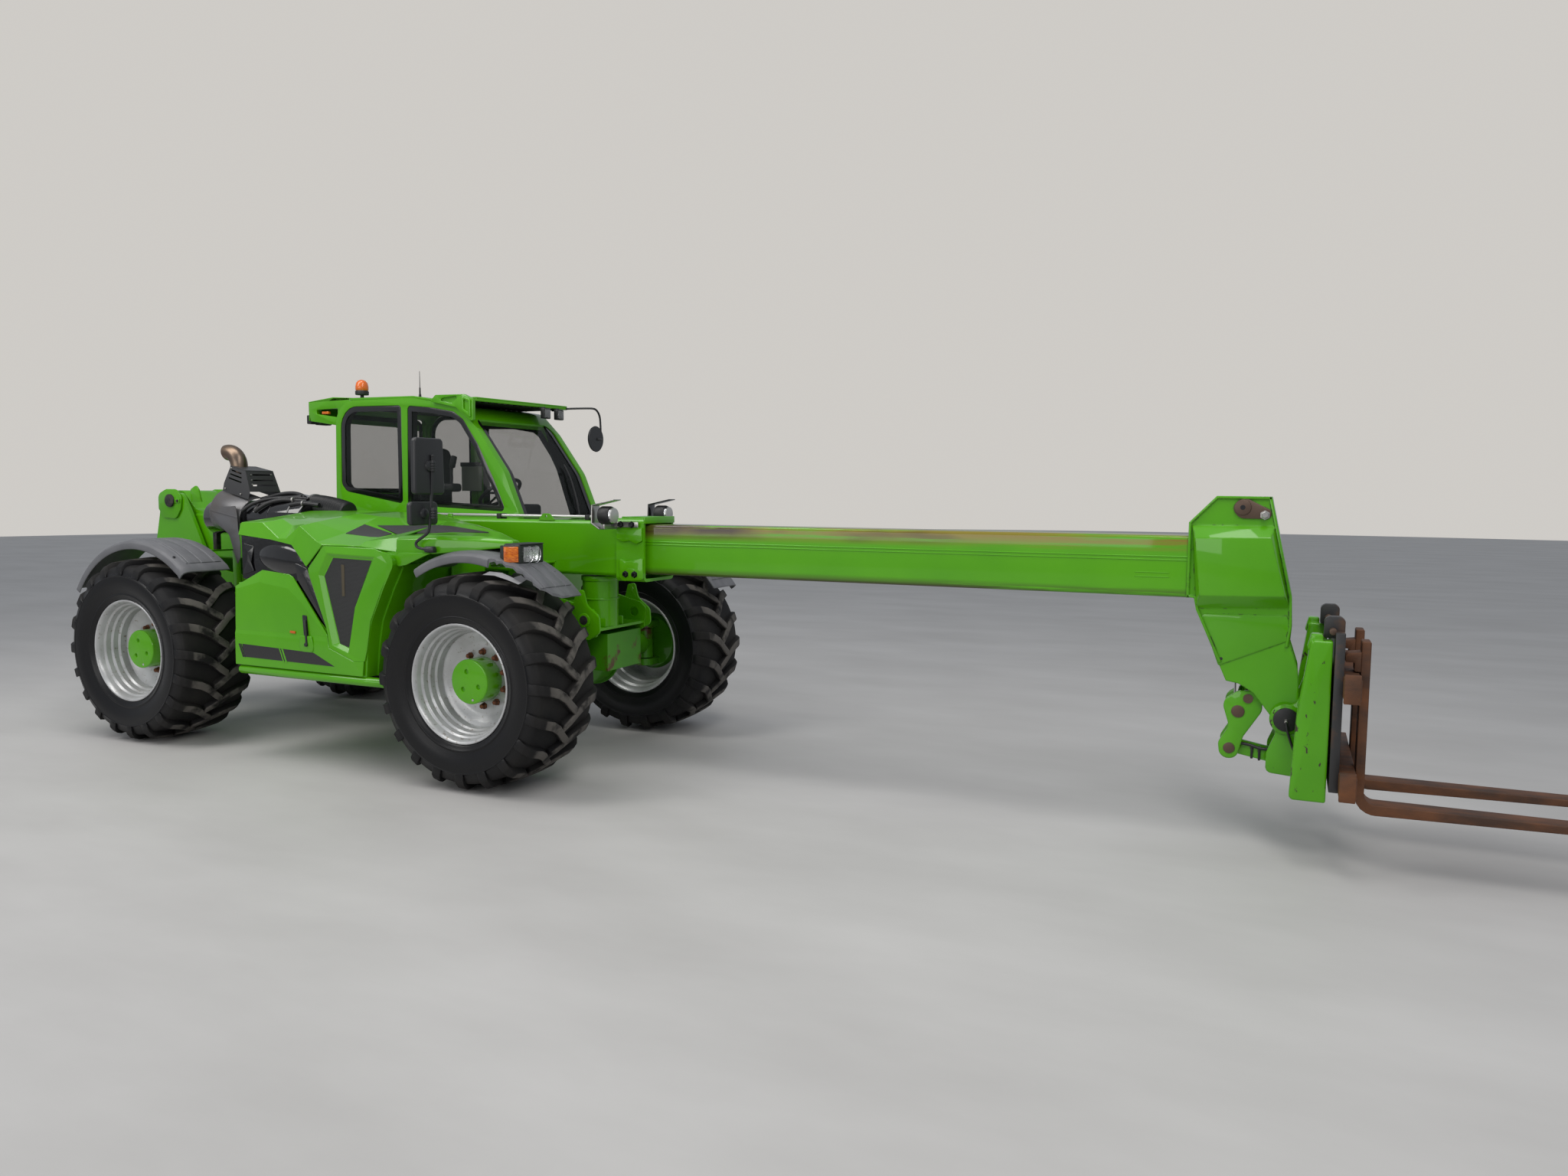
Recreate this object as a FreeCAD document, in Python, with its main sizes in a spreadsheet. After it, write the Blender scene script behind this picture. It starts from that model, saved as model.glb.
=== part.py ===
import FreeCAD, Part
import math
import os
import Sketcher
from FreeCAD import Placement, Rotation, Vector

# Telehandler with a one-stage telescopic boom and a fork carriage.
# Millimetres. The pieces are drawn from the rear axle: X forward, Y to the left, Z up from the ground.
# Each finished piece is then moved back by origin_shift, so that the row's origin is below the middle.

doc = FreeCAD.newDocument("Telehandler")

# Driving dimensions: alias, value
DRIVING = [
    ("wheel_base", 3000), ("half_width", 1250), ("tyre_width", 600), ("tyre_radius", 655),
    ("bead_radius", 340), ("kingpin_side", 850), ("rear_reach", 1000), ("fork_reach", 9030),
    ("origin_shift", 4015), ("frame_half", 300), ("frame_wall", 20), ("frame_top", 1080),
    ("boom_side", -70), ("boom_base", 1250), ("boom_roof", 1610), ("boom_half", 160), ("boom_wall", 14),
    ("pivot_x", -753), ("pivot_z", 1707), ("collar_front", 3700), ("inner_half", 125),
    ("inner_base", 1268), ("inner_roof", 1590), ("inner_wall", 12), ("tower_wall", 30),
    ("engine_length", 700), ("engine_width", 450), ("engine_height", 500),
    ("body_out", -1150), ("body_in", -300), ("panel", 8), ("cab_right", 150), ("cab_left", 1150),
    ("cab_wall", 45), ("fender_wall", 12), ("fork_width", 130), ("fork_thick", 43), ("fork_spacing", 520),
    ("fork_length", 1217), ("lift_barrel_radius", 75), ("lift_rod_radius", 45),
]
sheet = doc.addObject("Spreadsheet::Sheet", "Sizes")
for row_number, (alias, amount) in enumerate(DRIVING, start=1):
    sheet.set("A%d" % row_number, alias)
    sheet.set("B%d" % row_number, str(amount))
    sheet.setAlias("B%d" % row_number, alias)
doc.recompute()


def size(alias):
    """The value of one cell of the sheet."""
    return float(sheet.get(alias))


wheel_base = size("wheel_base")
half_width = size("half_width")
axle_height = size("tyre_radius")
wheel_side = half_width - size("tyre_width") / 2
frame_half = size("frame_half")
boom_side = size("boom_side")
shift = Placement(Vector(-size("origin_shift"), 0, 0), Rotation())

# Pins of the boom and of the fork linkage, in the XZ plane: x, z
LIFT_FOOT = (-350, 1000)
LIFT_EYE = (1500, 1130)
HEAD_PIN = (7214, 1740)
ROCKER_PIVOT = (7276, 760)
ROD_PIN = (7230, 690)
LINK_FRONT = (7418, 455)
LINK_BACK = (7194, 495)
CARRIAGE_PIVOT = (7457, 680)

nodes = {}
UP = Vector(0, 0, 1)
LEFT = Vector(0, 1, 0)
AHEAD = Vector(1, 0, 0)
PLANES = {
    "side": (Rotation(Vector(1, 0, 0), 90), LEFT),
    "front": (Rotation(Vector(1, 1, 1), 120), AHEAD),
    "top": (Rotation(), UP),
}
counter = {"made": 0}


def fresh(kind, label):
    """A new document object with a name of its own."""
    counter["made"] += 1
    return doc.addObject(kind, "%s_%d" % (label, counter["made"]))


def bind(thing, **links):
    """Set properties: numbers as they are, words as formulas over the sheet's cells."""
    for prop, amount in links.items():
        if isinstance(amount, str):
            thing.setExpression(prop, amount)
        else:
            setattr(thing, prop, amount)


def block(x0, x1, y0, y1, z0, z1, **links):
    """A box between two corners."""
    made = fresh("Part::Box", "block")
    made.Length, made.Width, made.Height = x1 - x0, y1 - y0, z1 - z0
    made.Placement = Placement(Vector(x0, y0, z0), Rotation())
    bind(made, **links)
    return made


def rod(start, end, radius, **links):
    """A round bar between two points."""
    made = fresh("Part::Cylinder", "rod")
    run = Vector(*end) - Vector(*start)
    made.Radius, made.Height = radius, run.Length
    made.Placement = Placement(Vector(*start), Rotation(UP, run))
    bind(made, **links)
    return made


def corner_arc(before, corner, after, radius):
    """Start, middle and end of the arc that rounds one corner."""
    back = (before - corner).normalize()
    ahead = (after - corner).normalize()
    half = math.acos(max(-1.0, min(1.0, back.dot(ahead)))) / 2
    reach = radius / math.tan(half)
    heart = corner + (back + ahead).normalize() * (radius / math.sin(half))
    middle = heart + (corner - heart).normalize() * radius
    return corner + back * reach, middle, corner + ahead * reach


def sketch(rows, plane, offset=0.0):
    """A closed sketch. Each row is across, up and, for a rounded corner, its radius."""
    turn, normal = PLANES[plane]
    made = fresh("Sketcher::SketchObject", "sketch")
    made.Placement = Placement(normal * offset, turn)
    corners = [Vector(row[0], row[1], 0) for row in rows]
    rounds = [row[2] if len(row) > 2 else 0 for row in rows]
    total = len(rows)
    ends = []
    edges = []
    for spot in range(total):
        if rounds[spot]:
            first, middle, last = corner_arc(corners[spot - 1], corners[spot], corners[(spot + 1) % total], rounds[spot])
            edges.append(Part.Arc(first, middle, last))
            ends.append((first, last))
        else:
            ends.append((corners[spot], corners[spot]))
    for spot in range(total):
        leave = ends[spot][1]
        arrive = ends[(spot + 1) % total][0]
        if leave.distanceToPoint(arrive) > 1e-6:
            edges.append(Part.LineSegment(leave, arrive))
    made.addGeometry(edges, False)
    return made


def slab(rows, plane, start, end, **links):
    """A plate: a closed outline pulled from one offset to another."""
    drawn = sketch(rows, plane, start)
    made = fresh("Part::Extrusion", "slab")
    made.Base = drawn
    made.DirMode = "Custom"
    made.Dir = PLANES[plane][1]
    made.LengthFwd = end - start
    made.Solid = True
    bind(made, **links)
    return made


def turned(rows, centre, axis=LEFT):
    """A turned piece about an axis through the centre. Each row is radius, place along the axis, round."""
    drawn = sketch([(row[1], row[0]) + tuple(row[2:]) for row in rows], "top")
    across = Rotation(AHEAD, axis)
    drawn.Placement = Placement(Vector(*centre), across)
    made = fresh("Part::Revolution", "turned")
    made.Source = drawn
    made.Base = Vector(*centre)
    made.Axis = axis
    made.Angle = 360
    made.Solid = True
    return made


def lofted(sections, plane, closed_rows=None):
    """A faceted body through sketches. Each section is offset, rows."""
    made = fresh("Part::Loft", "lofted")
    made.Sections = [sketch(rows, plane, offset) for offset, rows in sections]
    made.Solid = True
    made.Ruled = True
    return made


def joined(*pieces):
    """Pieces welded into one."""
    if len(pieces) == 1:
        return pieces[0]
    made = fresh("Part::MultiFuse", "joined")
    made.Shapes = list(pieces)
    made.Refine = True
    return made


def carved(base, *tools):
    """A piece with others cut away from it."""
    made = fresh("Part::Cut", "carved")
    made.Base = base
    made.Tool = joined(*tools)
    made.Refine = True
    return made


def node(label, piece):
    """Name a finished piece and move it to the row's frame."""
    piece.Label = label
    piece.Placement = shift.multiply(piece.Placement)
    nodes[label] = piece
    return piece


def bent_tube(points, radius, bend, label="tube"):
    """A round tube along straight runs joined by tangent arcs. Each point may carry its own bend radius."""
    spots = [Vector(*point[:3]) for point in points]
    edges = []
    here = spots[0]
    for spot in range(1, len(spots) - 1):
        own = points[spot][3] if len(points[spot]) > 3 else bend
        first, middle, last = corner_arc(spots[spot - 1], spots[spot], spots[spot + 1], own)
        edges.append(Part.LineSegment(here, first).toShape())
        edges.append(Part.Arc(first, middle, last).toShape())
        here = last
    edges.append(Part.LineSegment(here, spots[-1]).toShape())
    path = Part.Wire(edges)
    circle = Part.Wire(Part.makeCircle(radius, spots[0], spots[1] - spots[0]))
    made = fresh("Part::Feature", label)
    made.Shape = path.makePipeShell([circle], True, False)
    return made


def band(points, thickness):
    """The closed outline of a strip: a row of points and the same row moved inwards."""
    count = len(points)
    inner = []
    for spot in range(count):
        here = Vector(points[spot][0], points[spot][1], 0)
        before = Vector(points[max(spot - 1, 0)][0], points[max(spot - 1, 0)][1], 0)
        after = Vector(points[min(spot + 1, count - 1)][0], points[min(spot + 1, count - 1)][1], 0)
        come = (here - before) if spot else (after - here)
        leave = (after - here) if spot < count - 1 else (here - before)
        come.normalize()
        leave.normalize()
        side = Vector(come.y + leave.y, -come.x - leave.x, 0).normalize()
        reach = thickness / side.dot(Vector(come.y, -come.x, 0))
        moved = here + side * reach
        own = points[spot][2] if len(points[spot]) > 2 else 0
        inner.append((moved.x, moved.y, max(own - thickness, 0) if own else 0))
    return [tuple(point) for point in points] + inner[::-1]


# Wheels: tyre, rim and hub turn together on a knuckle that steers on its kingpins
TYRE_PROFILE = [
    # radius, place along the axle from the middle, round
    (340, -236), (372, -250), (430, -288, 40), (520, -300, 60), (600, -292, 30), (640, -250, 30),
    (655, -120, 300), (655, 120, 300), (640, 250, 30), (600, 292, 30), (520, 300, 60), (430, 288, 40),
    (372, 250), (340, 236),
]
RIM_PROFILE = [
    # radius, place outwards from the wheel's middle
    (340, -238), (364, -252), (364, -262), (352, -262), (328, -244), (322, -120), (300, -60), (300, 40),
    (268, 80), (148, 96), (148, 116), (276, 104), (306, 60), (318, 100), (326, 244), (352, 265), (364, 265),
    (364, 252), (340, 238),
]
HUB_PROFILE = [
    # radius, place outwards from the wheel's middle
    (55.05, 30), (148, 30), (148, 176), (138, 196), (0, 200), (0, 166), (55.05, 166),
]


def mirrored_profile(rows, side):
    """The same turned outline for the left wheels (side 1) or the right wheels (side -1)."""
    return [(row[0], row[1] * side) + tuple(row[2:]) for row in rows]


CORNERS = [("front_left", wheel_base, 1), ("front_right", wheel_base, -1), ("rear_left", 0.0, 1), ("rear_right", 0.0, -1)]
kingpin_side = size("kingpin_side")
for corner, axle_x, side in CORNERS:
    middle = (axle_x, side * wheel_side, axle_height)
    node("tyre_" + corner, turned(mirrored_profile(TYRE_PROFILE, side), middle))
    node("rim_" + corner, turned(mirrored_profile(RIM_PROFILE, side), middle))
    node("hub_" + corner, turned(mirrored_profile(HUB_PROFILE, side), middle))
    pin_y = side * kingpin_side
    near = [pin_y - side * 0, pin_y + side * 118]
    arms = []
    for low, high in ((axle_height + 118, axle_height + 168), (axle_height - 168, axle_height - 118)):
        arms.append(rod((axle_x, pin_y, low), (axle_x, pin_y, high), 75))
        arms.append(block(axle_x - 75, axle_x + 75, min(near), max(near), low, high))
    back = turned([(0, side * 82), (195, side * 82), (215, side * 118), (0, side * 118)],
                  (axle_x, pin_y, axle_height))
    spindle = turned([(0, side * 118), (120, side * 118), (120, side * 124), (55, side * 128), (55, side * 260),
                      (0, side * 260)], (axle_x, pin_y, axle_height))
    top_pin = rod((axle_x, pin_y, axle_height + 60), (axle_x, pin_y, axle_height + 120), 30)
    low_pin = rod((axle_x, pin_y, axle_height - 120), (axle_x, pin_y, axle_height - 60), 30)
    node("knuckle_" + corner, joined(back, spindle, top_pin, low_pin, *arms))

# Axles: a housing with a round middle, a neck each side and an eye for the kingpins
AXLE_PROFILE = [
    # radius, place across
    (0, -770), (78, -770), (88, -520), (105, -400), (195, -170), (205, 0, 300), (195, 170), (105, 400),
    (88, 520), (78, 770), (0, 770),
]
for name, axle_x, nose in (("front_axle", wheel_base, -1), ("rear_axle", 0.0, 1)):
    housing = [turned(AXLE_PROFILE, (axle_x, 0, axle_height))]
    tail = axle_x + nose * 330
    housing.append(rod((axle_x, 0, axle_height), (tail, 0, axle_height), 110))
    for side in (1, -1):
        pin_y = side * kingpin_side
        housing.append(rod((axle_x, pin_y, axle_height - 112), (axle_x, pin_y, axle_height + 112), 62))
        housing.append(rod((axle_x, side * 760, axle_height), (axle_x, pin_y, axle_height), 60))
        low, high = sorted((side * 268, side * 312))
        housing.append(block(axle_x - 90, axle_x + 90, low, high, axle_height, axle_height + 125))
    bores = []
    for side in (1, -1):
        pin_y = side * kingpin_side
        bores.append(rod((axle_x, pin_y, axle_height + 58), (axle_x, pin_y, axle_height + 120), 30.1))
        bores.append(rod((axle_x, pin_y, axle_height - 120), (axle_x, pin_y, axle_height - 58), 30.1))
    node(name, carved(joined(*housing), *bores))

# Frame: two long plates, cross tubes, a belly plate and the front tie-down ears
plate_rows = [
    (-905, 640), (-450, 640), (-350, 780), (350, 780), (450, 600), (2600, 600), (2680, 780), (3200, 780),
    (3270, 830, 30), (3350, 850, 20), (3365, 990, 30), (3320, 1030, 30), (3080, 1090, 60), (2700, 1080),
    (400, 1080), (-250, 1180), (-905, 1180),
]
wall = size("frame_wall")
inner = frame_half - wall
TIE_HOLE = (3270, 960, 33)
frame = []
for side in (1, -1):
    low, high = sorted((side * frame_half, side * inner))
    plate = slab(plate_rows, "side", low, high, LengthFwd="Sizes.frame_wall")
    hole = rod((TIE_HOLE[0], low - 5, TIE_HOLE[1]), (TIE_HOLE[0], high + 5, TIE_HOLE[1]), TIE_HOLE[2])
    frame.append(carved(plate, hole))
for x, z, radius in ((-620, 720, 45), (700, 660, 45), (1500, 660, 45), (2480, 700, 50)):
    frame.append(rod((x, -inner, z), (x, inner, z), radius))
frame.append(block(450, 2600, -inner, inner, 600, 612))
frame.append(block(3060, 3076, -inner, inner, 880, 1070))
frame.append(block(3070, 3350, -inner, inner, 884, 902))
frame.append(rod((3230, boom_side, 900), (3230, boom_side, 1215), 120))
axle_seats = [turned(AXLE_PROFILE, (axle_x, 0, axle_height)) for axle_x in (0.0, wheel_base)]
node("chassis_frame", carved(joined(*frame), *axle_seats))

# Tower: two plates that carry the boom's pivot and the lift cylinder's foot
tower_rows = [
    (-905, 900), (-905, 1140), (-965, 1200, 30), (-965, 1380, 60), (-900, 1650, 80), (-850, 1770, 60),
    (-640, 1770, 70), (-560, 1640, 120), (-330, 1190), (-280, 900),
]
tower = []
for low, high in ((-inner, -inner + 30), (110, 140)):
    tower.append(slab(tower_rows, "side", low, high, LengthFwd="Sizes.tower_wall"))
pivot = (size("pivot_x"), size("pivot_z"))
for low, high, radius in ((-inner + 20, -238, 70), (98, 112, 70), (-300, -270, 55), (130, 160, 55),
                          (-255, 115, 39.9)):
    tower.append(rod((pivot[0], low, pivot[1]), (pivot[0], high, pivot[1]), radius))
for low, high, radius in ((-252, -140, 60), (0, 112, 60), (-252, 112, 35)):
    tower.append(rod((LIFT_FOOT[0], low, LIFT_FOOT[1]), (LIFT_FOOT[0], high, LIFT_FOOT[1]), radius))
tower.append(block(-905, -860, -inner, 140, 900, 1240))
tower.append(block(-905, -320, 140, inner, 950, 985))
node("boom_tower", joined(*tower))

# Counterweight with the rear hitch jaw
counterweight = block(-1000, -905, -600, 600, 560, 1130)
jaw = block(-1000, -960, -60, 60, 700, 820)
node("counterweight", carved(counterweight, jaw))

# Engine, a plain block inside the side body
engine_x, engine_y, engine_z = 1200, -950, 642
node("engine_block", block(engine_x, engine_x + 700, engine_y, engine_y + 450, engine_z, engine_z + 500,
                           Length="Sizes.engine_length", Width="Sizes.engine_width",
                           Height="Sizes.engine_height"))

# Side body: the fixed lower part of the engine enclosure, open on top below the hood
body_out, body_in = size("body_out"), size("body_in")
body_rows = [(1040, 622), (2150, 622, 20), (2235, 990, 300), (2300, 1150, 200), (2400, 1320), (1040, 1320)]
body_room = [(1060, 642), (2120, 642), (2210, 990, 300), (2275, 1150, 200), (2350, 1400), (1060, 1400)]
body = slab(body_rows, "side", body_out, body_in)
room = slab(body_room, "side", body_out + 15, body_in - 15)
vent = slab([(1870, 1250), (2113, 1128), (2048, 815), (1975, 838)], "side", body_out - 10, body_out + 9)
sill = rod((1040, -1120, 593), (2290, -1120, 593), 30)
side_parts = [carved(body, room, vent), sill]
for x in (1200, 2200):
    side_parts.append(rod((x - 34, -322, 1592), (x + 34, -322, 1592), 8))
    for near in (x - 34, x + 24):
        side_parts.append(block(near, near + 10, -334, -300, 1290, 1606))
node("side_body", joined(*side_parts))

# Hood: the opening lid over the engine
hood_outer = [
    # x, then the outline across: y, z
    (1060, [(-1150, 1326), (-1130, 1400), (-700, 1560), (-345, 1600), (-345, 1326)]),
    (1800, [(-1150, 1326), (-1125, 1440), (-700, 1590), (-345, 1640), (-345, 1326)]),
    (2420, [(-1120, 1326), (-1090, 1400), (-700, 1520), (-345, 1570), (-345, 1326)]),
]
hood_room = [
    (1040, [(-1135, 1300), (-1115, 1388), (-700, 1545), (-360, 1583), (-360, 1300)]),
    (1800, [(-1135, 1300), (-1110, 1428), (-700, 1575), (-360, 1622), (-360, 1300)]),
    (2395, [(-1105, 1300), (-1075, 1388), (-700, 1505), (-360, 1552), (-360, 1300)]),
]
hood = carved(lofted(hood_outer, "front"), lofted(hood_room, "front"))
HOOD_PIN = (-322, 1592, 8)
HOOD_HINGES = (1200, 2200)
hood_parts = [hood]
eyes = []
for x in HOOD_HINGES:
    hood_parts.append(block(x - 22, x + 22, -352, HOOD_PIN[0], HOOD_PIN[1] - 8, HOOD_PIN[1] + 8))
    hood_parts.append(rod((x - 22, HOOD_PIN[0], HOOD_PIN[1]), (x + 22, HOOD_PIN[0], HOOD_PIN[1]), 15))
    eyes.append(rod((x - 30, HOOD_PIN[0], HOOD_PIN[1]), (x + 30, HOOD_PIN[0], HOOD_PIN[1]), HOOD_PIN[2] + 0.05))
node("hood", carved(joined(*hood_parts), *eyes))

# Cowl: the fixed lip between the hood and the right front fender
cowl_outer = [
    (2426, [(-1115, 1336), (-1085, 1400), (-700, 1515), (-345, 1560), (-345, 1336)]),
    (2655, [(-1100, 1412), (-1080, 1425), (-700, 1480), (-345, 1520), (-345, 1412)]),
]
cowl_room = [
    (2420, [(-1100, 1320), (-1072, 1388), (-700, 1502), (-358, 1546), (-358, 1320)]),
    (2642, [(-1088, 1396), (-1068, 1413), (-700, 1467), (-358, 1507), (-358, 1396)]),
]
cowl_foot = block(2430, 2442, -358, -300, 1000, 1400)
node("front_cowl", joined(carved(lofted(cowl_outer, "front"), lofted(cowl_room, "front")), cowl_foot))

# Cab: a hollow shell with its windows and its door opening cut
cab_right, cab_left = size("cab_right"), size("cab_left")
cab_rows = [
    (800, 760, 40), (680, 1250, 60), (630, 1708, 60), (700, 2200, 200), (830, 2480, 90), (1950, 2480, 60),
    (2160, 2220, 300), (2370, 1640, 60), (2280, 1220, 60), (2150, 760, 40),
]
room_rows = [
    (832, 790, 30), (713, 1256, 40), (662, 1708, 40), (730, 2194, 160), (852, 2448, 60), (1935, 2448, 40),
    (2128, 2210, 270), (2336, 1640, 50), (2247, 1224, 50), (2126, 790, 30),
]
shell = carved(slab(cab_rows, "side", cab_right, cab_left), block(500, 2500, 100, 305, 700, 1090))
space = carved(slab(room_rows, "side", cab_right + 30, cab_left - 30), block(500, 2500, 100, 335, 700, 1120))
RIGHT_WINDOWS = [
    [(760, 1700, 40), (800, 2180, 120), (905, 2400, 60), (1120, 2400, 30), (1120, 1700, 30)],
    [(1180, 1680, 30), (1180, 2400, 30), (1850, 2400, 60), (2060, 2180, 200), (2250, 1680, 50)],
]
windows = [slab(rows, "side", cab_right - 20, cab_right + 60) for rows in RIGHT_WINDOWS]
windows.append(slab([(760, 1500, 40), (800, 2180, 120), (905, 2400, 60), (1100, 2400, 30), (1100, 1500, 30)],
                    "side", cab_left - 60, cab_left + 20))
door_hole = [(1170, 880, 30), (1170, 2420, 40), (1900, 2420, 60), (2080, 2200, 240), (2290, 1640, 60),
             (2205, 1230, 50), (2120, 880, 40)]
windows.append(slab(door_hole, "side", cab_left - 60, cab_left + 20))
front_window = slab([(190 + 20, 1290, 40), (1110 - 20, 1290, 40), (1110 - 20, 2390, 60), (210, 2390, 60)],
                    "front", 2020, 2500)
rear_window = slab([(210, 1650, 40), (1090, 1650, 40), (1090, 2380, 60), (210, 2380, 60)], "front", 550, 850)
cab_parts = [carved(shell, space, front_window, rear_window, *windows)]
for z in (1050, 2250):
    cab_parts.append(rod((1170, 1165, z - 30), (1170, 1165, z + 30), 7))
    cab_parts.append(block(1130, 1175, 1148, 1174, z - 32, z - 20))
node("cab_shell", joined(*cab_parts))

# Cab glass: thin panes set in the window openings
panes = [slab(rows, "side", cab_right + 10, cab_right + 16) for rows in RIGHT_WINDOWS]
panes.append(slab([(760, 1500, 40), (800, 2180, 120), (905, 2400, 60), (1100, 2400, 30), (1100, 1500, 30)],
                  "side", cab_left - 16, cab_left - 10))
front_strip = slab(band([(1950, 2470), (2145, 2216), (2352, 1640), (2264, 1226)], 6), "side", 190, 1110)
rear_strip = slab(band([(650, 1600), (646, 1708), (715, 2200), (838, 2460)][::-1], -6), "side", 190, 1110)
for strip, low, high in ((front_strip, 1290, 2390), (rear_strip, 1650, 2380)):
    pane = fresh("Part::MultiCommon", "pane")
    reach = (2020, 2500) if strip is front_strip else (550, 850)
    pane.Shapes = [strip, slab([(210, low, 40), (1090, low, 40), (1090, high, 60), (210, high, 60)],
                               "front", reach[0], reach[1])]
    panes.append(pane)
node("cab_glass", joined(*panes))

# Cab door: frame and lower panel on the left, hinged at its rear edge
door_rows = [(1176, 886, 26), (1176, 2414, 36), (1898, 2414, 56), (2074, 2198, 236), (2282, 1640, 56),
             (2198, 1233, 46), (2116, 886, 36)]
door_glass = [(1235, 1000, 26), (1235, 2360, 36), (1870, 2360, 56), (2030, 2180, 206), (2222, 1640, 46),
              (2144, 1250, 36), (2070, 1000, 36)]
door = carved(slab(door_rows, "side", cab_left - 40, cab_left + 10),
              slab(door_glass, "side", cab_left - 60, cab_left + 30))
door_parts = [door]
door_eyes = []
for z in (1050, 2250):
    door_parts.append(rod((1170, 1165, z - 18), (1170, 1165, z + 30), 13))
    door_parts.append(block(1170, 1206, 1156, 1170, z - 18, z + 30))
    door_eyes.append(rod((1170, 1165, z - 40), (1170, 1165, z + 40), 7.05))
node("door_frame", carved(joined(*door_parts), *door_eyes))
glass_rows = [(1235, 1000, 26), (1235, 2360, 36), (1870, 2360, 56), (2030, 2180, 206), (2222, 1640, 46),
              (2144, 1250, 36), (2070, 1000, 36)]
node("door_glass", slab(glass_rows, "side", cab_left - 18, cab_left - 12))

# Roof: the visor with its guard, the rear overhang
visor = slab([(1990, 2480), (1990, 2540), (2200, 2500), (2230, 2484)], "side", 140, 1160)
roof = slab([(640, 2480), (560, 2500, 20), (600, 2560, 20), (1990, 2540), (1990, 2480)], "side", 170, 1130)
node("roof_cover", joined(roof, visor))

# Seat, console and steering wheel inside the cab
seat = joined(block(1080, 1560, 420, 900, 1180, 1300), block(1000, 1120, 440, 880, 1300, 1880),
              block(1100, 1520, 460, 860, 790, 1180))
console = joined(block(2000, 2090, 420, 880, 790, 1500), rod((2000, 650, 1450), (1880, 650, 1560), 35))
wheel_tilt = Vector(-120, 0, 110).normalize()
steer_wheel = turned([(150, -12), (190, -12), (190, 12), (150, 12)], (1868, 650, 1571), wheel_tilt)
steer_hub = turned([(0, -10), (160, -10), (160, -2), (0, -2)], (1868, 650, 1571), wheel_tilt)
column = rod((1900, 650, 1541.7), (1868, 650, 1571), 20)
node("console", joined(console, column, steer_wheel, steer_hub))
armrest = joined(block(1180, 1500, 200, 340, 1400, 1480), block(1250, 1400, 200, 300, 1120, 1400),
                 rod((1450, 270, 1480), (1480, 270, 1640), 22))
arm_bridge = block(1240, 1300, 300, 470, 1120, 1160)
node("seat", joined(seat, armrest, arm_bridge))

# Fenders: bent strips over the tyres, fixed to the frame
rear_arc = [(-675, 1010), (-520, 1280, 180), (-240, 1434, 260), (420, 1434, 320), (1030, 1230)]
front_arc = [(2690, 1318), (2800, 1400, 120), (3050, 1436, 300), (3420, 1420, 260), (3860, 1215)]
rear_left_arc = [(-675, 1010), (-520, 1280, 180), (-240, 1434, 260), (380, 1434, 300), (622, 1350)]
for name, arc, post_top in (("rear", rear_arc, 1426), ("front", front_arc, 1416)):
    strips = []
    for side in (1, -1):
        own_arc = rear_left_arc if (name, side) == ("rear", 1) else arc
        low, high = sorted((side * 660, side * 1245))
        strips.append(slab(band(own_arc, size("fender_wall")), "side", low, high))
    stay_x = 0 if name == "rear" else wheel_base
    for side in (1, -1):
        low, high = sorted((side * frame_half, side * 700))
        strips.append(block(stay_x - 40, stay_x + 40, low, high, 1330, 1342))
        riser = sorted((side * frame_half, side * (frame_half + 12)))
        strips.append(block(stay_x - 40, stay_x + 40, riser[0], riser[1], 1000, 1342))
        post = sorted((side * 662, side * 700))
        strips.append(block(stay_x - 40, stay_x + 40, post[0], post[1], 1342, post_top))
    node(name + "_fenders", joined(*strips))

# Outer boom: a hollow box on the tower's pins, with the lift eye below and a collar in front
outer = carved(
    block(-560, 3480, boom_side - 160, boom_side + 160, 1250, 1610),
    block(-400, 3490, boom_side - 146, boom_side + 146, 1264, 1596),
)
heel_rows = [(-560, 1250), (-560, 1500), (-840, 1660, 60), (-840, 1790, 60), (-640, 1790, 80), (-400, 1610), (-300, 1600),
             (-300, 1250)]
heel = slab(heel_rows, "side", boom_side - 160, boom_side + 160)
heel_cut = block(-600, -350, boom_side - 120, boom_side + 120, 1264, 1596)
pivot_hole = rod((-753, -400, 1707), (-753, 300, 1707), 40)
lug_rows = [(1380, 1252), (1440, 1080, 50), (1560, 1080, 50), (1620, 1252)]
lugs = [slab(lug_rows, "side", boom_side + low, boom_side + high) for low, high in ((-110, -85), (85, 110))]
node("outer_boom", joined(outer, carved(heel, pivot_hole), *lugs))
collar = carved(block(3480, 3700, boom_side - 185, boom_side + 185, 1221, 1630),
                block(3470, 3710, boom_side - 125.3, boom_side + 125.3, 1267.7, 1590.3))
node("boom_collar", collar)
lamp_bodies = []
for side in (1, -1):
    y = boom_side + side * 335
    low, high = sorted((boom_side + side * 185, y + side * 20))
    lamp_bodies.append(block(3490, 3600, low, high, 1560, 1570))
    lamp_bodies.append(block(3495, 3505, y - 30, y + 30, 1570, 1730))
    lamp_bodies.append(rod((3505, y, 1650), (3580, y, 1650), 62))
node("boom_lamps", joined(*lamp_bodies))
pipe = [rod((1770, boom_side, 1640), (3160, boom_side, 1640), 16)]
for x in (1800, 2465, 3130):
    pipe.append(block(x - 15, x + 15, boom_side - 24, boom_side + 24, 1610, 1644))
node("boom_pipe", joined(*pipe))

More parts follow.
